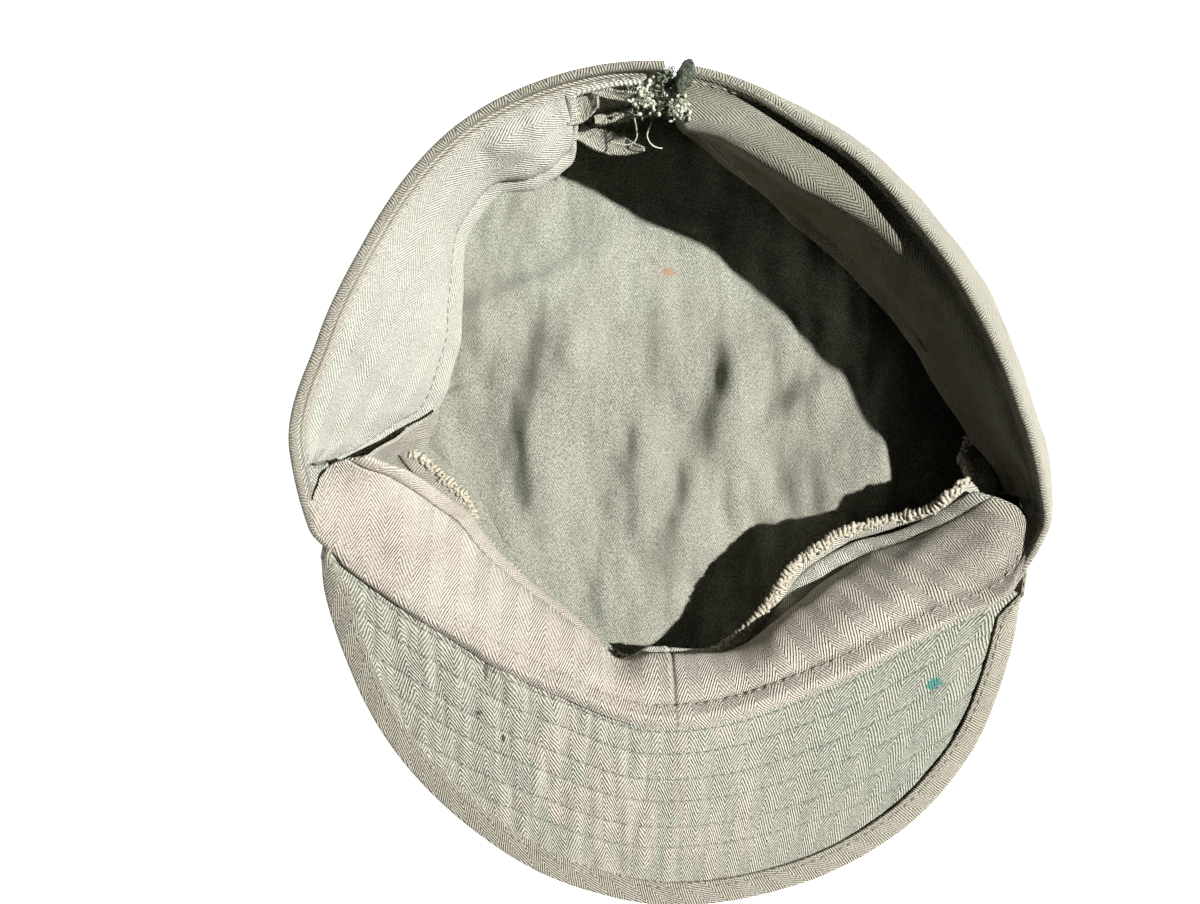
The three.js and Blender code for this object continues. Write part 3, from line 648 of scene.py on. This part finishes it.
def cotton(name, pale, deep):
    """Soft cotton thread: two shades in short streaks, with a fine furry relief."""
    finish = Finish(name)
    place = finish.add("ShaderNodeTexCoord", {}).outputs["Object"]
    streak = finish.noise(place, 1500.0, 3.0, 0.6)
    colour = finish.mix(finish.ramp(streak, 0.35, 0.68), deep, pale)
    tired = finish.ramp(finish.noise(place, 60.0, 3.0), 0.4, 0.7)
    colour = finish.mix(finish.sum("MULTIPLY", tired, 0.3), colour, deep)
    return finish.shade(colour, streak, {"Strength": 0.6, "Distance": 0.0002},
                        Roughness=0.92, Specular_IOR_Level=0.15)


loops = spin("overcast_loops", [LOOP_ROUTE], LOOP_THREAD)
over_up = facing(over_points)
over_up = over_up * np.sign(over_up[..., 2:3])
loop_places, loop_ways, loop_ups = places_along(over_points[:, -1], over_up[:, -2], LOOP_STEP, 1.5)
repeat(loops, [(loop_places, loop_ways, loop_ups)], 0.28, 5, stray=0.16)
over_cotton = cotton("overcast_cotton", (0.61, 0.575, 0.47), (0.36, 0.335, 0.265))
loops.data.materials.append(over_cotton)
knot_lines = []
for back, out_by, step in ((0.0, 0.4, 1.15), (0.9, 0.75, 1.3), (1.8, 0.6, 1.6)):
    edge_back = unit(over_points[:, -3] - over_points[:, -1]) * back
    path = over_points[:, -1] + edge_back + over_up[:, -2] * out_by
    knot_lines.append(places_along(path, over_up[:, -2], step, 1.2))
knots = sew("overcast_knots", (1.6, 1.25, 1.05), knot_lines, 0.35, 12, over_cotton, stray=0.3)
for piece in (loops, knots):
    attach(piece, "root")


# The sweatband: an inner band of the same twill, sewn just inside the rim, with a narrow turned hem
# along its free edge. It lies in three lengths, at the left, over the visor and at the right, hangs
# loose into the cap, and is torn away beside the split.
SWEAT_CLOTH = 0.9
SWEAT_STAND = 0.55
SWEAT_PARTS = (  # from and to degrees along the free edge, how much further the rim's side runs at each end
    (92.5, 190.6, 0, 4.8), (191, 343.8, 5.2, -5.5), (345, 446.2, -8, 0),
)
FREE_EDGE = (  # degrees, radius, height
    (5, 79.5, 26), (17, 73, 25), (31, 68, 25), (51, 65, 25), (70, 71, 25), (84, 77.5, 26), (92, 84, 50),
    (105.6, 84, 49), (107.8, 75, 35), (110, 72, 30), (119, 70, 30), (127, 74, 30), (138, 71.5, 29),
    (150, 64, 28), (165, 59, 27), (176, 60, 28), (182, 63, 29), (186, 73, 30), (188.6, 82, 33),
    (190.6, 90, 37),
    (191, 80, 52), (193, 76.5, 47), (196, 71.5, 40), (204, 65.5, 30),
    (212, 62.5, 25), (228, 63, 23), (245, 65, 21), (255, 69.5, 20), (262, 75, 20), (269, 71, 20.5),
    (287, 73.5, 21.5), (297, 69, 24), (311, 64.5, 27.5), (324, 68.5, 30.5), (333, 78, 34), (339, 83.5, 40),
    (343.8, 88.5, 46), (345, 98.5, 38), (348, 96, 36), (352, 91.5, 31), (357, 86.5, 28),
)
SWEAT_FOLDS = (  # degrees, dip beside the rim, roll below it, puff of the middle
    (0, 1.2, 0.5, 1), (25, 1.5, 1, 1), (33, 1.4, 2, 1), (42, 1.5, 4.4, 1.2), (50, 1.8, 7, 1.2),
    (58, 2, 8.8, 1.2), (66, 1.5, 9.8, 1.4), (76, -0.8, 10.6, 2.2), (85, -3.2, 10.6, 3), (95, 0, 0, 0),
    (108, 0, 1, 2), (120, 0, 2, 5), (135, 0, 1, 3), (160, 0, 0, 1.5), (188, 0, 0, 0), (205, 0, 0.5, 2),
    (250, 0, 2.5, 4), (270, 0, 3.5, 5), (292, 0, 3, 4), (310, 0, 1.5, 2), (333, 0, 1, 2), (348, 0, 0, 0),
    (355, 0.8, 1.5, 0.5),
)
SWEAT_WRINKLES = (  # from x, y to x, y, spread on the shaded and on the lit side, height
    (80, -36, 56, -50, 3.6, 7, 2.2),
    (66, -52, 40, -66, 3.4, 7, 1.5),
    (40, -58, 30, -74, 4, 7, 1.2),
    (92, -34, 74, -50, 3.2, 7, 1.8),
    (-37, 80, -34, 70, 2, 5, 1.4),
    (-46, 70, -30, 66, 2, 6, 1.6),
    (-76, -30, -60, -58, 3, 8, 1.2),
    (-84, 20, -70, 4, 4, 9, 1.0),
    (-20, -70, -24, -84, 2, 6, 1.0),
    (8, 80, 34, 68, 1.6, 2.6, 1.4),
    (10, 74, 42, 56, 1.8, 3.2, 1.7),
)
SWEAT_SEAMS = (107.6, 273.2)
SEAM_RADIUS = 80
TOP_ROW, SEWN_ROW, HEM_ROW, EDGE_ROW = 8, 14, 36, 42
KNOT_ROWS = (12, 18, 24, 30, HEM_ROW, EDGE_ROW)
KNOT_SHARES = (0, 0.09, 0.24, 0.62, 0.92, 1)
FRONT = 1
RIGHT = 2
free_r, free_z = round_curves(FREE_EDGE)
fold_dip, fold_roll, fold_puff = round_curves(SWEAT_FOLDS)


def sweat_knots(deg):
    """Knots of the sweatband's section: its top, its stitch line, its folds, its hem and its free edge.
    Over the visor its top is carried over the rim; elsewhere it lies on the inside of the hem."""
    over = even((deg - 203) / 5) * even((335 - deg) / 6)
    sewn = rim_hem(deg)
    top = band_point(deg, (sewn - 1.4) * (1 - over) + 0.1 * over, (HEM - 0.7) * (1 - over) - 1.3 * over)
    bend = band_point(deg, (sewn - 0.6) * (1 - over) - 1.0 * over, (HEM + 0.2) * (1 - over) + 1.3 * over)
    stitched = band_point(deg, sewn + 0.4 * over, HEM + SWEAT_STAND)
    edge = np.stack([free_r(deg), free_z(deg)], -1)
    chord = edge - stitched
    across = np.linalg.norm(chord, axis=-1)
    room = np.minimum(across / 30, 1)
    away = unit(np.stack([chord[..., 1], -chord[..., 0]], -1))
    hem_at = np.maximum(1 - 4.4 / across, 0.7)
    flare = 2.2 * even((deg - 260) / 8) * even((332 - deg) / 16)

    def share(t, lift):
        return stitched + chord * np.asarray(t)[..., None] + away * (lift * room)[..., None]
    dip, roll, puff = KNOT_SHARES[1:4]
    return [top, bend, stitched, share(dip, -fold_dip(deg)), share(roll, fold_roll(deg)),
            share(puff, fold_puff(deg)), share(hem_at, 1.6 * (1 - hem_at) * fold_puff(deg) - flare), edge]


sweat_parts = []
rim_lines = []
hem_lines = []
for part, (start, end, at_start, at_end) in enumerate(SWEAT_PARTS):
    sweat_deg = np.linspace(start, end, round((end - start) * 2) + 1)
    near = np.clip(1 - (sweat_deg - start) / 14, 0, 1)
    far = np.clip(1 - (end - sweat_deg) / 14, 0, 1)
    sweat_rows = []
    sweat_aims = []
    for row in range(EDGE_ROW + 1):
        pull = (1 - np.interp(row, KNOT_ROWS, KNOT_SHARES)) ** 5
        aim = sweat_deg + pull * (at_start * near + at_end * far)
        sweat_rows.append(smooth_line(sweat_knots(aim), EDGE_ROW + 1)[row])
        sweat_aims.append(aim)
    sweat_end = unit(sweat_rows[-1] - sweat_rows[-3])
    sweat_back = np.stack([-sweat_end[..., 1], sweat_end[..., 0]], -1)
    for bend in np.linspace(0, math.pi, 6)[1:]:
        swing = sweat_back * (1 - math.cos(bend)) + sweat_end * math.sin(bend)
        sweat_rows.append(sweat_rows[EDGE_ROW] + swing * 0.5)
    for share in (2.0, 4.0):
        sweat_rows.append(sweat_rows[EDGE_ROW] + sweat_back - sweat_end * share)
    while len(sweat_aims) < len(sweat_rows):
        sweat_aims.append(sweat_aims[EDGE_ROW])
    turned = np.stack(sweat_aims, 1)
    sweat_points = turn_round(turned, sweat_rows)
    sweat_flat = cut_flat(sweat_points, 26 if part == FRONT else 12)
    pucker = np.sin(sweat_flat[..., 0] * 1.15 + 3 * rumple(sweat_points, 14, 24))
    rows_down = np.arange(len(sweat_rows))
    if part == FRONT:
        left_front = (turned < SWEAT_SEAMS[1]) & (rows_down < HEM_ROW)
        sweat_flat = np.where(left_front[..., None], sweat_points[..., :2], sweat_flat)
    else:
        sweat_flat = sweat_flat[..., ::-1]
    ease = np.clip((rows_down - SEWN_ROW) / 10, 0, 1) * np.clip((49 - rows_down) / 8, 0.35, 1)
    sweat_shift = (1.0 * rumple(sweat_points, 24, 7) + 0.4 * rumple(sweat_points, 9, 8)) * ease
    sweat_shift += ridges(sweat_points, SWEAT_WRINKLES) * ease
    sweat_shift += 0.4 * bump(rows_down - 40, 2.5)
    sweat_shift -= 0.6 * bump(rows_down - HEM_ROW, 0.9)
    sweat_shift += 0.1 * pucker * bump(rows_down - SEWN_ROW, 3)
    for seam_deg in SWEAT_SEAMS:
        off = (turned - seam_deg) * math.radians(1) * SEAM_RADIUS
        sweat_shift += ease * (0.4 * bump(off + 1.2, 1.2) - 0.7 * bump(off, 0.5))
    seam_line = bump(turned - SWEAT_SEAMS[1], 0.5) * ((rows_down > SEWN_ROW + 1) & (rows_down < HEM_ROW))
    sweat_points += facing(sweat_points) * sweat_shift[..., None]
    everywhere = np.ones_like(turned)
    # Painted shade: a dark line in the gap where the sweatband comes out under the rim's hem, faint over
    # the visor, and a shadow line under the front length's flared right hem.
    hem_line = bump(rows_down - TOP_ROW, 2.5)
    if part == FRONT:
        hem_line = 0.25 * bump(rows_down - TOP_ROW, 0.8)
    right_front = even((turned - 262) / 4) * (part == FRONT)
    hem_line = np.maximum(hem_line, 0.85 * right_front * bump(rows_down - HEM_ROW, 0.7))
    sweat_parts.append(lay_cloth(
        "sweatband_cloth", sweat_points, sweat_flat, SWEAT_CLOTH,
        front=(part == FRONT) - right_front * (rows_down > HEM_ROW),
        # painted shade: the right length, and faintly the front length's right end, darkened as if in the
        # rim's shadow
        right=everywhere * (part == RIGHT) + 0.4 * right_front * even((turned - 316) / 14),
        # painted shade, brownish: the right length's lower inside darkened as if shadowed
        soiled=everywhere * (part == RIGHT) * even((rows_down - 25) / 4),
        top=everywhere * even((16 - rows_down) / 2),
        # groove share: painted shade in the rim gap and along the hem, and a dark line at the front seam
        groove=np.maximum(seam_line, hem_line)))
    sweat_face = facing(sweat_points)
    for row, lines, step in ((SEWN_ROW, rim_lines, 2.7), (HEM_ROW, hem_lines, 2.8)):
        path = sweat_points[:, row] + sweat_face[:, row] * (SWEAT_CLOTH / 2 + 0.05)
        lines.append(places_along(path, sweat_face[:, row], step, 1.0))
deselect()
for piece in sweat_parts:
    piece.select_set(True)
bpy.context.view_layer.objects.active = sweat_parts[0]
bpy.ops.object.join()
sweatband = bpy.context.object
sweat_twill = twill("sweat_twill", (0.76, 0.765, 0.68), (0.36, 0.37, 0.305), (0.72, 0.72, 0.64),
                    weave=0.36, grain=0.4,
                    zones=(("top", (0.74, 0.7, 0.6), (0.33, 0.305, 0.245)),
                           ("front", (0.77, 0.7, 0.605), (0.34, 0.3, 0.245)),
                           # painted shade for the right length
                           ("right", (0.37, 0.365, 0.285), (0.14, 0.135, 0.098)),
                           # deeper painted shade, brownish, for the right length's lower inside
                           ("soiled", (0.33, 0.29, 0.2), (0.13, 0.11, 0.075)),
                           # painted shade for the groove share
                           ("groove", (0.27, 0.25, 0.19), (0.12, 0.11, 0.08))),
                    spots=(((-69, 54.9, 45), (0.7, 0.9), 1.2, (0.05, 0.05, 0.04), 0.8),))
sweatband.data.materials.append(sweat_twill)
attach(sweatband, "root")
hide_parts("sweatband")


# The sweatband's stitches: a line that holds it to the rim's hem, and a line along its own turned
# edge. One stitch is a short pad of thread, pulled a little into the cloth, copied along each line.
rim_cotton = cotton("rim_cotton", (0.58, 0.55, 0.45), (0.38, 0.355, 0.285))
rim_stitches = sew("rim_stitches", (1.9, 0.4, 0.3), rim_lines, 0.15, 6, rim_cotton)
hem_cotton = cotton("hem_cotton", (0.3, 0.275, 0.21), (0.18, 0.165, 0.12))
hem_stitches = sew("sweatband_hem_stitches", (2.0, 0.55, 0.4), hem_lines, 0.15, 7, hem_cotton)
for piece in (rim_stitches, hem_stitches):
    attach(piece, "root")


# The visor: two layers of twill over a stiffener, quilted with curved rows of stitching that follow
# its root. It is sewn to the band under the rim and slopes down towards its front edge.
VISOR_THICK = 2.6
BINDING_CLOTH = 1.1
VISOR_FROM = 205
VISOR_TO = 331.5
VISOR_CROWNING = 1.2
VISOR_ROWS = (2.7, 9.0, 16.3, 22.6, 30.2, 36.4)
VISOR_STEPS = 110
VISOR_EDGE = (  # degrees, radius, height
    (202, 98.5, 49), (210, 103, 48), (219, 108.5, 46), (231, 117.5, 42), (246, 127.5, 38),
    (260, 135.5, 36), (274, 139.5, 35), (286, 139, 35), (298, 136, 37), (310, 129.5, 39),
    (320, 120, 43), (326, 114, 46), (333, 108, 49),
)
visor_r, visor_z = round_curves(VISOR_EDGE)


def visor_line(deg):
    """Root, edge, way out and way up of the visor at each angle."""
    root = np.stack([rim_r(deg) + SEAM_GAP, rim_z(deg) - VISOR_THICK / 2 - 0.6], -1)
    edge = np.stack([visor_r(deg) - BINDING_CLOTH, visor_z(deg)], -1)
    along = edge - root
    up = unit(np.stack([-along[..., 1], along[..., 0]], -1))
    return root, edge, along, up


visor_deg = np.linspace(VISOR_FROM, VISOR_TO, 361)
root, edge, along, up = visor_line(visor_deg)
width = np.linalg.norm(along, axis=-1)
visor_rows = []
for share in np.linspace(0, 1, VISOR_STEPS + 1):
    t = share * (1 - SEAM_GAP / width)
    bow = VISOR_CROWNING * np.sin(np.pi * t)
    for row_at in VISOR_ROWS:
        bow -= 0.32 * bump(t * width - row_at, 0.9)
    visor_rows.append(root + along * t[:, None] + up * bow[:, None])
visor_points = turn_round(visor_deg, visor_rows)
drawn = visor_points * np.array([1, 0.22, 0.22])
left_half = np.clip((30 - visor_points[..., 0]) / 50, 0.25, 1)
puckers = 0.35 * rumple(visor_points, 18, 9) + 0.8 * left_half * rumple(drawn, 4.2, 10)
visor_points[..., 2] += puckers + 0.4 * left_half * rumple(drawn, 2.0, 29)
fan = np.where(visor_points[..., 0] > 0, 0.006, 0.003) * (visor_points[..., 1] + 95)
visor_flat = np.stack([visor_points[..., 0] / (1 + fan), visor_points[..., 1]], -1)
streaks = even(0.45 + 1.5 * rumple(drawn, 2.6, 27) + 0.6 * rumple(visor_points, 22, 28))
faded = streaks * even((52 - np.abs(visor_points[..., 0] + 8)) / 30)
fresh = even((visor_points[..., 0] - 25) / 40)
TEAL = (0.05, 0.27, 0.24)
HOLLOW = (0.05, 0.055, 0.04)
visor_twill = twill("visor_twill", (0.68, 0.68, 0.58), (0.23, 0.245, 0.185), (0.62, 0.585, 0.48),
                    weave=0.36, zones=(("faded", (0.77, 0.72, 0.61), (0.33, 0.31, 0.245)),
                                       ("fresh", (0.6, 0.615, 0.515), (0.18, 0.2, 0.15))),
                    spots=(((73.5, -76, 43), (2.6, 2.2), 2.4, TEAL, 0.9),
                           ((-46.5, -72, 43), (0.8, 3.6), 1.2, HOLLOW, 0.75),
                           ((-48.5, -84, 42), (1.2, 0.9), 1.5, HOLLOW, 0.7),
                           ((-42, -91, 41), (0.8, 1.5), 1.2, HOLLOW, 0.9)))
visor = lay_cloth("visor_cloth", visor_points, visor_flat, VISOR_THICK - 0.3, visor_twill,
                  faded=faded, fresh=fresh)
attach(visor, "root")
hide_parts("visor")


# The visor's quilting stitches: rows of dark green thread that follow the visor's root, each pulled
# into its own groove and ending under the binding.
visor_lines = []
for row_at in VISOR_ROWS:
    inside = width > row_at + 8.5
    path = []
    for i in np.nonzero(inside)[0]:
        place = row_at / width[i] * VISOR_STEPS
        low = int(place)
        path.append(visor_points[i, low] * (low + 1 - place) + visor_points[i, low + 1] * (place - low))
    path = np.array(path) + np.array([0, 0, (VISOR_THICK - 0.3) / 2])
    visor_lines.append(places_along(path, np.tile([0.0, 0.0, 1.0], (len(path), 1)), 2.5, 0.9))
visor_cotton = cotton("visor_cotton", (0.2, 0.24, 0.18), (0.1, 0.125, 0.09))
visor_stitches = sew("visor_stitches", (1.9, 0.5, 0.42), visor_lines, 0.15, 8, visor_cotton)
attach(visor_stitches, "root")


# The binding: a bias strip of twill folded round the visor's edge and stitched through, with its
# turned-in lip pressed down along the inner side and its two ends tucked in under the rim.
BINDING_WIDTH = 6.5
EDGE_OF_BINDING = 14
out = unit(along)
leg = np.minimum(BINDING_WIDTH, width * 0.6)
stand = VISOR_THICK / 2 + SEAM_GAP + BINDING_CLOTH / 2


def binding_place(back, height):
    bow = VISOR_CROWNING * np.sin(np.pi * (1 - back / width))
    return edge - out * np.asarray(back)[..., None] + up * (height + bow)[..., None]


binding_rows = []
for share in np.linspace(1, 0, EDGE_OF_BINDING + 1):
    lip = -0.35 * math.exp(-((1 - share) * BINDING_WIDTH / 1.2) ** 2)
    binding_rows.append(binding_place(leg * share, stand + lip + 0 * leg))
for bend in np.linspace(0, math.pi, 9)[1:-1]:
    binding_rows.append(binding_place(-math.sin(bend) * 0.6 + 0 * leg, stand * math.cos(bend) + 0 * leg))
for share in np.linspace(0, 1, 11):
    binding_rows.append(binding_place(leg * share, -stand + 0 * leg))
binding_points = turn_round(visor_deg, binding_rows)
tails = []
for end, near in ((0, 4), (-1, -5)):
    way = unit(binding_points[end, EDGE_OF_BINDING] - binding_points[near, EDGE_OF_BINDING])
    way = way + np.array([0, 0, -0.45])
    tail = [binding_points[end] + way * step for step in np.linspace(0.9, 8.1, 9)]
    tails.append(np.array(tail))
binding_points = np.concatenate([tails[0][::-1], binding_points, tails[1]])
binding_flat = cut_flat(binding_points, EDGE_OF_BINDING)
binding_points[..., 2] += 0.18 * rumple(binding_points, 7, 11)
binding_twill = twill("binding_twill", (0.6, 0.57, 0.47), (0.27, 0.255, 0.2), (0.56, 0.52, 0.43),
                      turn=math.radians(45))
binding = lay_cloth("visor_binding_cloth", binding_points, binding_flat, BINDING_CLOTH - 0.2, binding_twill)
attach(binding, "root")
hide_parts("visor_binding")

binding_face = facing(binding_points)
binding_face = binding_face * np.sign(binding_face[..., 2:3])
path = binding_points[:, 3] + binding_face[:, 3] * (BINDING_CLOTH / 2 - 0.1)
binding_lines = [places_along(path, binding_face[:, 3], 2.7, 1.0)]
binding_stitches = sew("binding_stitches", (2.0, 0.5, 0.4), binding_lines, 0.15, 9, hem_cotton)
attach(binding_stitches, "root")


# The torn scrap: a pointed tongue of sweatband that still hangs from the torn end at the back, its
# raw edges frayed and its tip curled up. Three smaller shreds are left beside it round the torn hole.
TORN_TONGUES = (  # name, root x, y, z, way on in degrees, length, half widths along it, tilt of its side
    ("torn_scrap_cloth", (-23.5, 75.5, 34), -16, 20.5, (1.7, 3.0, 3.4, 2.4, 0.5), (0.1, -0.9, -0.42)),
    ("torn_patch_cloth", (-25.0, 79.8, 45), 2, 8.5, (5.4, 5.2, 4.6, 3.2, 1.6), (0.02, -0.9, -0.5)),
    ("torn_strip_cloth", (-17.5, 76.0, 43), 12, 11.0, (0.9, 1.2, 1.1, 0.9, 0.5), (0.1, -0.9, -0.4)),
    ("torn_roll_cloth", (-19.5, 83.2, 49), -14, 14.5, (1.2, 1.5, 1.3, 1.4, 1.1), (0.1, -0.8, -0.6)),
)
TONGUE_GRID = (61, 25)
scrap_twill = twill("scrap_twill", (0.69, 0.675, 0.575), (0.24, 0.24, 0.185), (0.64, 0.62, 0.53))
for number, (name, root_at, way_deg, reach_to, halves, tilt) in enumerate(TORN_TONGUES):
    way = np.array([math.cos(math.radians(way_deg)), math.sin(math.radians(way_deg)), 0])
    side = unit(np.array(tilt, float))
    face = unit(np.cross(way, side))
    face = face * np.sign(face[2])
    points = np.empty((*TONGUE_GRID, 3))
    for i, t in enumerate(np.linspace(0, 1, TONGUE_GRID[0])):
        middle = np.array(root_at, float) + way * reach_to * t
        middle[2] += 2.2 * t * t - 1.6 * math.sin(math.pi * t)
        half = np.interp(t, np.linspace(0, 1, len(halves)), halves)
        for j, across in enumerate(np.linspace(-1, 1, TONGUE_GRID[1])):
            ragged = 1 + 0.12 * noise.noise(Vector((t * 17, across, number * 5)))
            cup = 0.28 * half * across * across + 0.35 * noise.noise(Vector((t * 5, across * 2, number)))
            points[i, j] = middle + side * across * half * ragged + face * cup
    tongue = lay_cloth(name, points, np.stack(ground_lengths(points), -1), 0.8, scrap_twill)
    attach(tongue, "root")
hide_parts("torn_scrap")


# The frayed ends at the split: pale knots of cotton burst out of the torn edges, with fine green fluff
# between them, and the thick rolled rim is torn through on the right, its open end shown as a near-black
# lump of painted shade.
KNOTS = (  # middle x, y, z, spread x, y, z, count
    (-3.6, 80.4, 50.5, 1.7, 1.7, 1.0, 100),
    (5.0, 76.4, 54.2, 1.3, 1.9, 0.7, 70),
    (0.6, 79.2, 48.5, 1.8, 0.9, 0.8, 22),
)
FLUFF = (  # middle x, y, z, spread x, y, z, count, longest
    (2.0, 83.2, 52.5, 1.0, 1.7, 0.9, 330, 3.2),
    (-4.6, 79.6, 50, 2.0, 1.7, 1.2, 60, 3.6),
    (4.8, 77.0, 54.4, 1.2, 1.6, 0.6, 60, 3.6),
)
FLUFF_STEPS = 6


def any_way(chance, count):
    """Directions that point anywhere, one for each place."""
    return unit(chance.normal(0, 1, (count, 3)))


def burst(groups, seed):
    """Chance places in each group, turned anyhow."""
    chance = np.random.default_rng(seed)
    lines = []
    for x, y, z, wide, deep, tall, count in groups:
        places = np.array([x, y, z]) + chance.normal(0, 1, (count, 3)) * np.array([wide, deep, tall])
        ways = any_way(chance, count)
        lines.append((places, ways, unit(np.cross(ways, any_way(chance, count)))))
    return lines


fray_cotton = cotton("fray_cotton", (0.72, 0.73, 0.62), (0.42, 0.45, 0.35))
knots = sew("frayed_knots", (1.5, 1.05, 0.95), burst(KNOTS, 13), 0.35, 13, fray_cotton)

chance = random.Random(11)
routes = []
for x, y, z, wide, deep, tall, count, longest in FLUFF:
    for _ in range(count):
        spot = Vector((chance.gauss(x, wide), chance.gauss(y, deep), chance.gauss(z, tall)))
        way = Vector((chance.uniform(-1, 1), chance.uniform(-1, 0.6), chance.uniform(-0.3, 0.8)))
        way.normalize()
        curl = Vector((chance.uniform(-1, 1), chance.uniform(-1, 1), chance.uniform(-1, 1)))
        pace = chance.uniform(0.4, 1) * longest / FLUFF_STEPS
        route = [tuple(spot)]
        for _ in range(FLUFF_STEPS):
            spot = spot + way * pace
            way = (way + curl.cross(way) * 0.8).normalized()
            route.append(tuple(spot))
        routes.append(route)
fluff = spin("frayed_fluff", routes, 0.2)
fluff.data.materials.append(cotton("fluff_cotton", (0.5, 0.56, 0.43), (0.24, 0.29, 0.2)))

# A near-black lump of painted shade stands for the hollow inside the torn rim's open end.
RIM_END_SIZE = (4.2, 9.6, 2.6)
RIM_END_TURN = math.radians(21)
RIM_END_AT = (6.0, 83.2, 57.4)
deselect()
bpy.ops.mesh.primitive_uv_sphere_add(segments=36, ring_count=18, radius=MM / 2)
bpy.ops.transform.resize(value=RIM_END_SIZE)
bpy.ops.transform.rotate(value=RIM_END_TURN, orient_axis="Z")
bpy.ops.transform.translate(value=[place * MM for place in RIM_END_AT])
bpy.ops.object.transform_apply(location=True, rotation=True, scale=True)
rim_end_shade = bpy.context.object
rim_end_shade.name = "torn_rim_end_shade"
for vertex in rim_end_shade.data.vertices:
    vertex.co += vertex.normal * 0.45 * MM * noise.noise(vertex.co / (1.1 * MM))
bpy.ops.object.shade_smooth()
rim_end_shade.data.materials.append(cotton("rim_end_shade_cotton", (0.13, 0.15, 0.115), (0.03, 0.036, 0.028)))
for piece in (knots, fluff, rim_end_shade):
    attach(piece, "root")

LOOSE_THREADS = (
    ((-6.8, 76.0, 46), (-6.2, 73.5, 44), (-6.0, 71.5, 43), (-7.0, 70.0, 42), (-9.2, 69.6, 41.5),
     (-13, 70.6, 41)),
    ((-2.0, 75.0, 44), (-3.2, 72.0, 42), (-1.6, 69.5, 41), (1.0, 69.0, 40)),
    ((9.0, 73.5, 44), (13.0, 71.0, 40), (18.0, 67.5, 36), (24.0, 63.5, 33), (28.0, 60.0, 31)),
)
loose = spin("loose_threads", [smooth_line(route, 24) for route in LOOSE_THREADS], 0.4)
loose.data.materials.append(fray_cotton)
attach(loose, "root")
